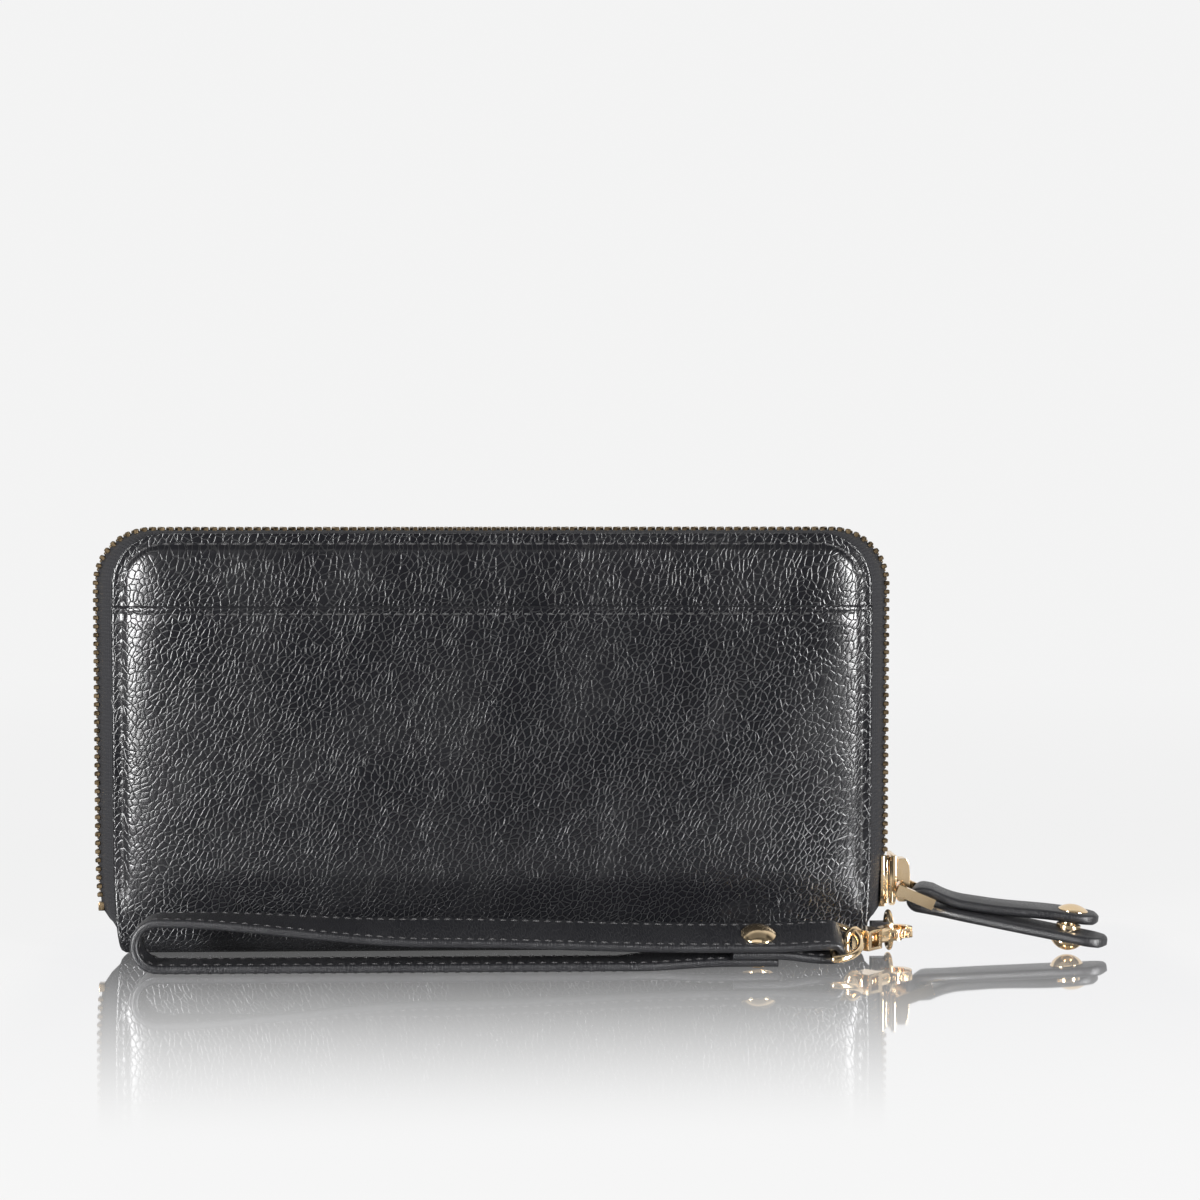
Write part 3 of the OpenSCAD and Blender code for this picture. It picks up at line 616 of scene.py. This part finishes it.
def zip_line(half, top, radius, low, wide_at):
    """Stations up the left side, over the top and down the right: point and outward normal."""
    line = []
    for i in range(TAPE_SIDE):
        z = low + (top - radius - low) * i / TAPE_SIDE
        line.append((-wide_at(z), z, -1.0, 0.0))
    for i in range(TAPE_TURN):
        a = math.pi - math.pi / 2 * i / TAPE_TURN
        line.append((-half + radius + radius * math.cos(a), top - radius + radius * math.sin(a),
                     math.cos(a), math.sin(a)))
    for i in range(TAPE_TOP // 2):
        x = (-half + radius) * (1 - 2 * i / TAPE_TOP)
        line.append((x, top, 0.0, 1.0))
    return line + [(0.0, top, 0.0, 1.0)] + [(-x, z, -nx, nz) for x, z, nx, nz in line[::-1]]


def sewn_width(z):
    return edge_half_width(z) - sewn_in


def outer_width(z):
    t = min(max((z - tape_foot) / (9 * MM), 0), 1)
    return edge_half_width(z) - sewn_in + (side_out + sewn_in) * t * (2 - t)


sewn_line = zip_line(half_w - sewn_in, cover_h - sewn_in, top_r - sewn_in, tape_foot, sewn_width)
edge_line = zip_line(zip_half, zip_top, zip_r, tape_foot, outer_width)
TAPE_ACROSS = 12
sewn_y = 11.1 * MM
bead_y = 1.7 * MM


def tape_maker(side):
    def place(row, column):
        x0, z0, nx, nz = sewn_line[row]
        x1, z1, _, _ = edge_line[row]
        t = column / TAPE_ACROSS
        swell = 0.9 * MM * math.sin(math.pi * min(t * 1.25, 1))
        x = x0 + (x1 - x0) * t + nx * swell
        z = z0 + (z1 - z0) * t + nz * swell
        return (x, side * (sewn_y + (bead_y - sewn_y) * t), z)

    return place


weave_mat, weave_nodes, weave_links, weave_shader = new_material("woven_tape")
weave_shader.inputs["Base Color"].default_value = (0.004, 0.004, 0.005, 1)
weave_shader.inputs["Roughness"].default_value = 0.72
weave_shader.inputs["Specular IOR Level"].default_value = 0.2
weave_uv = weave_nodes.new("ShaderNodeUVMap")
weave_uv.uv_map = "weave"
weave_waves = []
for direction in ("X", "Y"):
    wave = weave_nodes.new("ShaderNodeTexWave")
    wave.bands_direction = direction
    wave.inputs["Scale"].default_value = 330
    weave_links.new(weave_uv.outputs["UV"], wave.inputs["Vector"])
    weave_waves.append(wave)
weave_sum = weave_nodes.new("ShaderNodeMath")
weave_sum.operation = "MAXIMUM"
weave_links.new(weave_waves[0].outputs["Fac"], weave_sum.inputs[0])
weave_links.new(weave_waves[1].outputs["Fac"], weave_sum.inputs[1])
weave_relief = weave_nodes.new("ShaderNodeBump")
weave_relief.inputs["Distance"].default_value = 0.00018
weave_links.new(weave_sum.outputs[0], weave_relief.inputs["Height"])
weave_links.new(weave_relief.outputs["Normal"], weave_shader.inputs["Normal"])


def lay_uv(piece, name, columns, width, lengths):
    """Gives a strip its cloth coordinates in metres, across and along."""
    uv = piece.data.uv_layers.new(name=name)
    for loop in piece.data.loops:
        row, column = divmod(loop.vertex_index, columns + 1)
        uv.data[loop.index].uv = (column / columns * width, lengths[row])


tape_lengths = [0.0]
for a, b in zip(edge_line, edge_line[1:]):
    tape_lengths.append(tape_lengths[-1] + math.hypot(b[0] - a[0], b[1] - a[1]))
for side, node, body in ((-1, "zip_tape_front", "root"), (1, "zip_tape_back", "back_half")):
    tape_shape = ring_section(len(edge_line) - 1, TAPE_ACROSS, tape_maker(side))
    tape = new_object(f"{node}_woven", tape_shape, weave_mat)
    face_towards(tape, (0, 0, 1))
    lay_uv(tape, "weave", TAPE_ACROSS, 12 * MM, tape_lengths)
    thicken(tape, 0.55 * MM)
    smooth(tape)
    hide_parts(node)
    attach(tape, body)

# The zip teeth: stamped brass in an antique finish, clamped over the tape's bead. Every tooth is
# a block with a narrower head that reaches past the middle, between two heads of the other row.
brass_mat, brass_nodes, brass_links, brass_shader = new_material("antique_brass")
brass_shader.inputs["Metallic"].default_value = 1.0
brass_place = brass_nodes.new("ShaderNodeTexCoord")
brass_spots = brass_nodes.new("ShaderNodeTexNoise")
brass_spots.inputs["Scale"].default_value = 700
brass_spots.inputs["Detail"].default_value = 4
brass_tone = brass_nodes.new("ShaderNodeValToRGB")
brass_tone.color_ramp.elements[0].position = 0.35
brass_tone.color_ramp.elements[0].color = (0.035, 0.025, 0.014, 1)
brass_tone.color_ramp.elements[1].position = 0.68
brass_tone.color_ramp.elements[1].color = (0.3, 0.22, 0.13, 1)
brass_gloss = brass_nodes.new("ShaderNodeMapRange")
brass_gloss.inputs["To Min"].default_value = 0.42
brass_gloss.inputs["To Max"].default_value = 0.22
brass_links.new(brass_place.outputs["Object"], brass_spots.inputs["Vector"])
brass_links.new(brass_spots.outputs["Fac"], brass_tone.inputs["Fac"])
brass_links.new(brass_tone.outputs["Color"], brass_shader.inputs["Base Color"])
brass_links.new(brass_spots.outputs["Fac"], brass_gloss.inputs["Value"])
brass_links.new(brass_gloss.outputs["Result"], brass_shader.inputs["Roughness"])
TOOTH_PITCH = 2.2 * MM


def tooth_template():
    """One tooth: X along the zip, Y from the head to the root, Z out of the wallet."""
    bm = bmesh.new()
    bmesh.ops.create_cube(bm, size=1)
    bmesh.ops.scale(bm, verts=bm.verts, vec=(1.1 * MM, 1.9 * MM, 1.5 * MM))
    bmesh.ops.translate(bm, verts=bm.verts, vec=(0, 1.95 * MM, 0))
    head = [f for f in bm.faces if f.normal.y < -0.5]
    reach = bmesh.ops.extrude_face_region(bm, geom=head)
    bmesh.ops.delete(bm, geom=head, context="FACES")
    tip = [v for v in reach["geom"] if isinstance(v, bmesh.types.BMVert)]
    for v in tip:
        v.co.y = -0.55 * MM
        v.co.x *= 0.72
        v.co.z *= 0.62
    bmesh.ops.bevel(bm, geom=bm.edges, offset=0.2 * MM, segments=1, profile=0.5, affect="EDGES", material=-1)
    mesh = bpy.data.meshes.new("tooth")
    bm.to_mesh(mesh)
    bm.free()
    return mesh


tooth_mesh = tooth_template()
chain_line = [p for p in edge_line if p[1] > teeth_z - 2 * MM]
chain_lengths = [0.0]
for a, b in zip(chain_line, chain_line[1:]):
    chain_lengths.append(chain_lengths[-1] + math.hypot(b[0] - a[0], b[1] - a[1]))


def chain_at(s):
    i = 0
    while i < len(chain_line) - 2 and chain_lengths[i + 1] < s:
        i += 1
    t = (s - chain_lengths[i]) / (chain_lengths[i + 1] - chain_lengths[i])
    a, b = chain_line[i], chain_line[i + 1]
    out = Vector((a[2] + (b[2] - a[2]) * t, 0, a[3] + (b[3] - a[3]) * t)).normalized()
    return Vector((a[0] + (b[0] - a[0]) * t, 0, a[1] + (b[1] - a[1]) * t)), out


tooth_rows = ((-1, "zip_teeth_front", "root", 0.0), (1, "zip_teeth_back", "back_half", 0.5))
for side, node, body, shift in tooth_rows:

    def teeth_shape(bm, side=side, shift=shift):
        for k in range(int(chain_lengths[-1] / TOOTH_PITCH) - 1):
            at, out = chain_at((k + 0.8 + shift) * TOOTH_PITCH)
            run = Vector((out.z, 0, -out.x))
            across = Vector((0, side, 0))
            turn = Matrix((run, across, out)).transposed().to_4x4()
            first = len(bm.verts)
            bm.from_mesh(tooth_mesh)
            bm.verts.ensure_lookup_table()
            bmesh.ops.transform(bm, matrix=Matrix.Translation(at) @ turn, verts=bm.verts[first:])
        bmesh.ops.recalc_face_normals(bm, faces=bm.faces)

    teeth = smooth(new_object(f"{node}_stamped", teeth_shape, brass_mat), 35)
    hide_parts(node)
    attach(teeth, body)

# The bright hardware: zip slider and its ring, press stud, clasp, rings and rivet are die-cast or
# pressed, tumbled until every edge is soft, and plated in polished pale gold.
gold_mat, gold_nodes, gold_links, gold_shader = new_material("pale_gold_plate")
gold_shader.inputs["Metallic"].default_value = 1.0
gold_place = gold_nodes.new("ShaderNodeTexCoord")
gold_haze = gold_nodes.new("ShaderNodeTexNoise")
gold_haze.inputs["Scale"].default_value = 260
gold_haze.inputs["Detail"].default_value = 5
gold_tone = gold_nodes.new("ShaderNodeValToRGB")
gold_tone.color_ramp.elements[0].color = (0.72, 0.53, 0.31, 1)
gold_tone.color_ramp.elements[1].color = (0.86, 0.68, 0.45, 1)
gold_gloss = gold_nodes.new("ShaderNodeMapRange")
gold_gloss.inputs["To Min"].default_value = 0.08
gold_gloss.inputs["To Max"].default_value = 0.22
gold_relief = gold_nodes.new("ShaderNodeBump")
gold_relief.inputs["Strength"].default_value = 0.25
gold_relief.inputs["Distance"].default_value = 0.00005
gold_links.new(gold_place.outputs["Object"], gold_haze.inputs["Vector"])
gold_links.new(gold_haze.outputs["Fac"], gold_tone.inputs["Fac"])
gold_links.new(gold_tone.outputs["Color"], gold_shader.inputs["Base Color"])
gold_links.new(gold_haze.outputs["Fac"], gold_gloss.inputs["Value"])
gold_links.new(gold_gloss.outputs["Result"], gold_shader.inputs["Roughness"])
gold_links.new(gold_haze.outputs["Fac"], gold_relief.inputs["Height"])
gold_links.new(gold_relief.outputs["Normal"], gold_shader.inputs["Normal"])
body_of_node = {}
for body, nodes in frame["record"]["behaviour"]["bodies"].items():
    for node in nodes:
        body_of_node[node] = body


def tumbled(node, radius, material=None, turn=None):
    """The node's own shape with its edges rounded off, as tumbling and plating leave it."""
    source = frame["nodes"][node].data

    def make(bm):
        bm.from_mesh(source)
        bmesh.ops.remove_doubles(bm, verts=bm.verts, dist=0.004 * MM)
        bmesh.ops.dissolve_limit(bm, angle_limit=math.radians(1.5), verts=bm.verts, edges=bm.edges)
        bmesh.ops.recalc_face_normals(bm, faces=bm.faces)
        if turn:
            bmesh.ops.transform(bm, matrix=turn, verts=bm.verts)

    piece = new_object(f"{node}_finished", make, material or gold_mat)
    if radius:
        soften = piece.modifiers.new("soft_edges", "BEVEL")
        soften.width = radius
        soften.segments = 3
        soften.limit_method = "ANGLE"
        soften.angle_limit = math.radians(32)
        soften.harden_normals = False
    smooth(piece, 40)
    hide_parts(node)
    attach(piece, body_of_node[node])
    return piece


def turned(axis, degrees):
    return Matrix.Rotation(math.radians(degrees), 4, axis)


def about(point, turn):
    """A turn about a point."""
    return Matrix.Translation(point) @ turn @ Matrix.Translation(-point)


STRAP_LEAN = 24
joints = {joint["name"]: joint for joint in frame["joints"]}
fold_at = Vector(joints["pull_flap_open"]["pos_m"])
ring_at = Vector(joints["pull_ring_swing"]["pos_m"])
to_fold = Matrix.Translation(fold_at) @ turned("Z", -26) @ turned("Y", 7.2)
to_upper = to_fold @ turned("Z", 12)
cad_upper = to_fold @ turned("Z", 7) @ turned("Y", -2.5)
stud_shift = to_upper @ Matrix.Translation((0, 0, -1.0 * MM)) @ cad_upper.inverted()
to_ring = Matrix.Translation(ring_at) @ turned("Z", -8) @ turned("Y", 22)
ring_stouter = to_ring @ Matrix.Diagonal((1, 1, 1.9, 1)) @ to_ring.inverted()
moved = {"snap_stud": stud_shift, "snap_stud_cap": stud_shift, "pull_ring": ring_stouter}
ring_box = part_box("strap_ring")
ring_middle = Vector([(a + b) / 2 for a, b in zip(*ring_box)])
rivet_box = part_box("strap_rivet_post")
rivet_x = (rivet_box[0][0] + rivet_box[1][0]) / 2
rivet_at = Vector((rivet_x, (rivet_box[0][1] + rivet_box[1][1]) / 2, ring_middle.z))
rivet_lean = about(rivet_at, turned("X", STRAP_LEAN)) @ Matrix.Translation((0, 0, 0.95 * MM))
for node in ("strap_rivet_cap", "strap_rivet_back", "strap_rivet_post"):
    moved[node] = rivet_lean
for node, radius in (
    ("slider_body", 0.3 * MM), ("pull_ring", 0.4 * MM),
    ("snap_socket", 0.15 * MM), ("snap_socket_cap", 0.3 * MM), ("snap_stud", 0.12 * MM),
    ("snap_stud_cap", 0.3 * MM), ("clasp_hook", 0.3 * MM), ("clasp_gate", 0.2 * MM),
    ("clasp_gate_pin", 0.08 * MM), ("clasp_swivel_pin", 0.15 * MM), ("clasp_eye", 0.25 * MM),
    ("wallet_ring", 0), ("strap_rivet_cap", 0.3 * MM), ("strap_rivet_back", 0.2 * MM),
    ("strap_rivet_post", 0.1 * MM), ("coin_slider", 0.3 * MM), ("coin_puller", 0.2 * MM),
):
    tumbled(node, radius, turn=moved.get(node))
body_low, body_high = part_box("slider_body")


def flange_shape(bm):
    """The plates' turned-in edges, which run along the tape and hold the teeth in line."""
    for side in (-1, 1):
        for x in (body_low[0] + 1.4 * MM, body_high[0] - 1.4 * MM):
            new = bmesh.ops.create_cube(bm, size=1)["verts"]
            bmesh.ops.scale(bm, verts=new, vec=(1.0 * MM, 0.6 * MM, body_high[2] - body_low[2] - 2.4 * MM))
            middle = (x, side * (body_high[1] - 0.35 * MM), (body_low[2] + body_high[2]) / 2)
            bmesh.ops.translate(bm, verts=new, vec=middle)
    bmesh.ops.bevel(bm, geom=bm.edges, offset=0.2 * MM, segments=3, profile=0.5, affect="EDGES", material=-1)


flanges = smooth(new_object("slider_flanges", flange_shape, gold_mat), 40)
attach(flanges, "slider")
bridge_low, bridge_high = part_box("slider_bridge")


def bridge_shape(bm):
    """A cast arch on the outer plate: a broad rounded wall with one small eye for the ring."""
    middle_z = (bridge_low[2] + bridge_high[2]) / 2
    eye = (ring_at.x, ring_at.z)
    loops = []
    for k in range(2):
        loop = []
        for i in range(48):
            a = 2 * math.pi * (i + 0.5) / 48
            c, s = math.cos(a), math.sin(a)
            if k == 0:
                c, s = (abs(c) ** 0.55) * (1 if c > 0 else -1), (abs(s) ** 0.75) * (1 if s > 0 else -1)
                spot = ((bridge_low[0] + bridge_high[0]) / 2 + c * 1.95 * MM, middle_z + s * 5.6 * MM)
            else:
                spot = (eye[0] + c * 1.15 * MM, eye[1] + s * 1.6 * MM)
            loop.append(bm.verts.new((spot[0], bridge_low[1], spot[1])))
        loops.append([bm.edges.new((loop[i], loop[(i + 1) % 48])) for i in range(48)])
    bmesh.ops.bridge_loops(bm, edges=loops[0] + loops[1])
    back = bmesh.ops.extrude_face_region(bm, geom=bm.faces[:])
    shift = [v for v in back["geom"] if isinstance(v, bmesh.types.BMVert)]
    bmesh.ops.translate(bm, verts=shift, vec=(0, bridge_high[1] - bridge_low[1], 0))
    bmesh.ops.recalc_face_normals(bm, faces=bm.faces)


bridge = new_object("slider_bridge_cast", bridge_shape, gold_mat)
bridge_soft = bridge.modifiers.new("soft_edges", "BEVEL")
bridge_soft.width = 0.6 * MM
bridge_soft.segments = 4
bridge_soft.angle_limit = math.radians(50)
smooth(bridge, 60)
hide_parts("slider_bridge")
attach(bridge, "slider")
tumbled("strap_ring", 0, turn=about(ring_middle, turned("X", STRAP_LEAN)))
tumbled("zip_bottom_stops", 0.15 * MM, brass_mat, Matrix.Diagonal((0.986, 1, 1, 1)))
tumbled("zip_end_tabs", 0.2 * MM, hide_mat, Matrix.Diagonal((0.962, 0.98, 1, 1)))

# The wrist strap: two thin layers of smooth black leather, glued, painted along both edges and
# sewn in two rows. It goes round its ring's bar and back on itself, held by one domed rivet.
strap_t = 2.0 * MM
strap_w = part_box("wrist_strap")[1][1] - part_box("wrist_strap")[0][1]
bar_x = ring_box[0][0] + 0.9 * MM
bar_y = ring_middle.y
bar_z = ring_middle.z
fold_mid = 2.0 * MM
layer_z = [3.2 * MM, 5.25 * MM, 7.3 * MM]
strap_lean = math.radians(STRAP_LEAN)
far_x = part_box("wrist_strap")[0][0] - 1.8 * MM
far_r = 5.6 * MM


def glide(a, b, n):
    """Stations from one (x, z, lean) to another along a soft S."""
    out = []
    for i in range(n):
        t = i / n
        s = t * t * (3 - 2 * t)
        out.append((a[0] + (b[0] - a[0]) * t, a[1] + (b[1] - a[1]) * s, a[2] + (b[2] - a[2]) * t))
    return out


far_cx = far_x + far_r + strap_t / 2
hidden_end = (rivet_x - 6.5 * MM, layer_z[1], strap_lean)
past_rivet = [(rivet_x + 4 * MM, z, strap_lean) for z in layer_z]
under_bar = (bar_x - 1.5 * MM, bar_z - fold_mid, strap_lean)
over_bar = (bar_x - 1.5 * MM, bar_z + fold_mid, strap_lean)
before_rivet = (rivet_x - 8 * MM, layer_z[2], strap_lean)
mid_strap = (-18 * MM, 9.4 * MM, strap_lean)
far_top = (far_cx + 4 * MM, strap_t / 2 + 2 * far_r, 0)
far_foot = (far_cx + 4 * MM, strap_t / 2, 0)
lift_off = (rivet_x - 34 * MM, strap_t / 2, 0)
line = glide(hidden_end, past_rivet[1], 5) + glide(past_rivet[1], under_bar, 8)
for i in range(15):
    a = -math.pi / 2 + math.pi * i / 14
    line.append((bar_x + fold_mid * math.cos(a), bar_z + fold_mid * math.sin(a), strap_lean))
line += glide(over_bar, past_rivet[2], 8) + glide(past_rivet[2], before_rivet, 5)
line += glide(before_rivet, mid_strap, 22) + glide(mid_strap, far_top, 16)
for i in range(19):
    a = math.pi / 2 + math.pi * i / 18
    line.append((far_cx + far_r * math.cos(a), strap_t / 2 + far_r + far_r * math.sin(a), 0))
line += glide(far_foot, lift_off, 22)
line += glide(lift_off, (rivet_x - 4 * MM, layer_z[0], strap_lean), 10)
line.append((rivet_x + 4.5 * MM, layer_z[0], strap_lean))


def band_section(width, thickness, corner, steps=4):
    """A flat band's cross-section with round edges, as (across, through) pairs."""
    out = []
    for cx, cz, start in ((1, 1, 0), (-1, 1, 90), (-1, -1, 180), (1, -1, 270)):
        for i in range(steps + 1):
            a = math.radians(start + 90 * i / steps)
            out.append((cx * (width / 2 - corner) + corner * math.cos(a),
                        cz * (thickness / 2 - corner) + corner * math.sin(a)))
    return out


def frames_along(stations):
    """For each (x, z, lean) the leaned point, the across vector and the face normal."""
    out = []
    points = []
    for x, z, tilt in stations:
        rise = z - bar_z
        points.append(Vector((x, bar_y - rise * math.sin(tilt), bar_z + rise * math.cos(tilt))))
    for i, (x, z, tilt) in enumerate(stations):
        ahead = (points[min(i + 1, len(points) - 1)] - points[max(i - 1, 0)]).normalized()
        across = Vector((0, math.cos(tilt), math.sin(tilt)))
        across = (across - ahead * across.dot(ahead)).normalized()
        out.append((points[i], across, ahead.cross(across).normalized()))
    return out


def band_maker(frames, section, scale=lambda i: (1, 1)):
    """Sweeps a closed section along frames and closes both ends."""
    n = len(section)

    def make(bm):
        bmesh.ops.create_grid(bm, x_segments=n, y_segments=len(frames) - 1, size=1)
        for v in bm.verts:
            k = round((v.co.x + 1) / 2 * n) % n
            i = round((v.co.y + 1) / 2 * (len(frames) - 1))
            p, across, up = frames[i]
            w, t = scale(i)
            v.co = p + across * section[k][0] * w + up * section[k][1] * t
        bmesh.ops.remove_doubles(bm, verts=bm.verts, dist=0.001 * MM)
        rim = [e for e in bm.edges if e.is_boundary]
        if rim:
            bmesh.ops.holes_fill(bm, edges=rim)
        bmesh.ops.recalc_face_normals(bm, faces=bm.faces)

    return make


CALF_BLACK = (0.0035, 0.0035, 0.0042)
# The sixth value, 0.012, is the creases' painted highlight colour, lighter than the pebbles.
strap_mat = leather_material("smooth_calf", CALF_BLACK, 0.6 * MM, 0.02 * MM, 0.36, 0.012, 0.3)
strap_frames = frames_along(line)
strap_shape = band_maker(strap_frames, band_section(strap_w, strap_t, 0.75 * MM))
strap = new_object("wrist_strap_leather", strap_shape, strap_mat)
smooth(strap, 60)
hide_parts("wrist_strap")
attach(strap, "strap")
for name, side in (("strap_stitches_near", -1), ("strap_stitches_far", 1)):
    for face, turn in (("outer", 1), ("inner", -1)):
        row = strap_frames[2:-1]
        points = [p + across * side * 4.1 * MM + up * turn * strap_t / 2 for p, across, up in row]
        stitch_line(f"{name}_{face}", points, [up * turn for _, _, up in row], "strap", "smooth_leather",
                    pitch=2.7 * MM, size=0.42 * MM)

# The pull: one thick strip of smooth black leather, folded round the ring's far bar. Its two leaves
# have round ends and soft painted edges, and meet at the press stud.
pull_w = 11.0 * MM
leaf_t = 2.5 * MM
lower_mid = -2.05 * MM
lower_len = 46 * MM
upper_len = 42.5 * MM
fold_r = 2.45 * MM
fold_x = -1.6 * MM


def upper_mid(x):
    """The upper leaf drops from the ring's bar onto the lower leaf; the stud holds it off again."""
    near = min(max(1 - x / (9 * MM), 0), 1) ** 2
    far = min(max((x - 14 * MM) / (20 * MM), 0), 1)
    return 0.55 * MM + 1.7 * MM * near + 1.0 * MM * far * far * (3 - 2 * far)


pull_line = [(lower_len - (lower_len - fold_x) * (i / 33) ** 1.25, lower_mid, 0.0) for i in range(34)]
for i in range(1, 16):
    a = -math.pi / 2 - math.pi * i / 16
    top = upper_mid(fold_x)
    z = (lower_mid + top) / 2 + (top - lower_mid) / 2 * math.sin(a)
    pull_line.append((fold_x + fold_r * math.cos(a), z, i / 16))
for i in range(34):
    x = fold_x + (upper_len - fold_x) * (1 - (1 - i / 33) ** 1.25)
    pull_line.append((x, upper_mid(x), 1.0))


def pull_frames():
    out = []
    points = []
    for x, z, share in pull_line:
        low = to_fold @ Vector((x, 0, z))
        high = to_upper @ Vector((x, 0, z))
        points.append(low.lerp(high, share))
    for i, (x, z, share) in enumerate(pull_line):
        ahead = (points[min(i + 1, len(points) - 1)] - points[max(i - 1, 0)]).normalized()
        low = to_fold.to_3x3() @ Vector((0, 1, 0))
        high = to_upper.to_3x3() @ Vector((0, 1, 0))
        across = low.lerp(high, share).normalized()
        across = (across - ahead * across.dot(ahead)).normalized()
        out.append((points[i], across, ahead.cross(across).normalized()))
    return out


def pull_scale(i):
    """Width of the strip: round at the two tips, a little narrower at the fold."""
    x, _, share = pull_line[i]
    end = (lower_len if share < 0.5 else upper_len) - x
    r = pull_w / 2
    wide = math.sqrt(max(1 - (1 - min(end / r, 1)) ** 2, 0.0))
    pinch = 1 - 0.12 * math.exp(-((x - 3 * MM) / (5 * MM)) ** 2)
    return max(wide, 0.03) * pinch, min(0.55 + 0.45 * min(end / (1.2 * MM), 1), 1)


leaf_frames = pull_frames()
pull_shape = band_maker(leaf_frames, band_section(pull_w, leaf_t, 1.15 * MM, 5), pull_scale)
pull = new_object("pull_leather", pull_shape, strap_mat)
smooth(pull, 70)
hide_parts("pull_leaf_lower", "pull_leaf_upper")
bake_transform(pull)

# The inside: linings, gussets and coin pocket in black woven cotton, boards of pressed fibre, and
# stepped card pockets of thin leather. They keep their plain sewn shapes.
cloth_mat, cloth_nodes, cloth_links, cloth_shader = new_material("lining_cotton")
cloth_shader.inputs["Roughness"].default_value = 0.85
cloth_shader.inputs["Sheen Weight"].default_value = 0.25
cloth_place = cloth_nodes.new("ShaderNodeTexCoord")
cloth_bands = []
for direction in ("X", "Z"):
    wave = cloth_nodes.new("ShaderNodeTexWave")
    wave.bands_direction = direction
    wave.inputs["Scale"].default_value = 450
    wave.inputs["Distortion"].default_value = 0.4
    cloth_links.new(cloth_place.outputs["Object"], wave.inputs["Vector"])
    cloth_bands.append(wave)
cloth_sum = cloth_nodes.new("ShaderNodeMath")
cloth_sum.operation = "MAXIMUM"
cloth_links.new(cloth_bands[0].outputs["Fac"], cloth_sum.inputs[0])
cloth_links.new(cloth_bands[1].outputs["Fac"], cloth_sum.inputs[1])
cloth_relief = cloth_nodes.new("ShaderNodeBump")
cloth_relief.inputs["Distance"].default_value = 0.0001
cloth_links.new(cloth_sum.outputs[0], cloth_relief.inputs["Height"])
cloth_links.new(cloth_relief.outputs["Normal"], cloth_shader.inputs["Normal"])
cloth_tone = cloth_nodes.new("ShaderNodeMixRGB")
cloth_tone.inputs["Color1"].default_value = (0.012, 0.012, 0.014, 1)
cloth_tone.inputs["Color2"].default_value = (0.04, 0.04, 0.046, 1)
cloth_links.new(cloth_sum.outputs[0], cloth_tone.inputs["Fac"])
cloth_links.new(cloth_tone.outputs["Color"], cloth_shader.inputs["Base Color"])

LINING_ROWS, LINING_COLUMNS = 30, 40
for side, node, body in ((-1, "front_lining", "root"), (1, "back_lining", "back_half")):

    def lining_place(row, column, side=side):
        z = 6 * MM + (cover_h - 8 * MM) * row / LINING_ROWS
        x = (2 * column / LINING_COLUMNS - 1) * (edge_half_width(z) - 2 * MM)
        bulge = 0.12 * MM * noise.noise(Vector((x * 30, side, z * 30)))
        return (x, side * (10.6 * MM + bulge), z)

    lining_shape = ring_section(LINING_ROWS, LINING_COLUMNS, lining_place)
    lining = new_object(f"{node}_cloth", lining_shape, cloth_mat)
    face_towards(lining, (0, -side, 0))
    thicken(lining, 0.4 * MM)
    smooth(lining)
    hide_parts(node)
    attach(lining, body)

board_mat = edge_paint("pressed_fibre", (0.32, 0.3, 0.27))
board_mat.node_tree.nodes["Principled BSDF"].inputs["Specular IOR Level"].default_value = 0.2
steel_mat = edge_paint("spring_steel", (0.5, 0.5, 0.52))
steel_mat.node_tree.nodes["Principled BSDF"].inputs["Metallic"].default_value = 1.0
CARD_BLACK = (0.006, 0.006, 0.0075)
# The sixth value, 0.02, is the creases' painted highlight colour, lighter than the pebbles.
card_mat = leather_material("card_pocket_leather", CARD_BLACK, 0.8 * MM, 0.03 * MM, 0.4, 0.02, 0.4)
finishes = {
    "lining_cloth": cloth_mat, "board": board_mat, "smooth_leather": card_mat,
    "zip_tape": cloth_mat, "antique_brass": brass_mat, "spring_steel": steel_mat,
    "pale_gold": gold_mat, "pebbled_leather": hide_mat,
}
for part in frame["record"]["subparts"]:
    node = frame["nodes"][part["node"]]
    if not node.hide_render:
        for place in node.material_slots:
            place.material = finishes[part["material_slot"]]
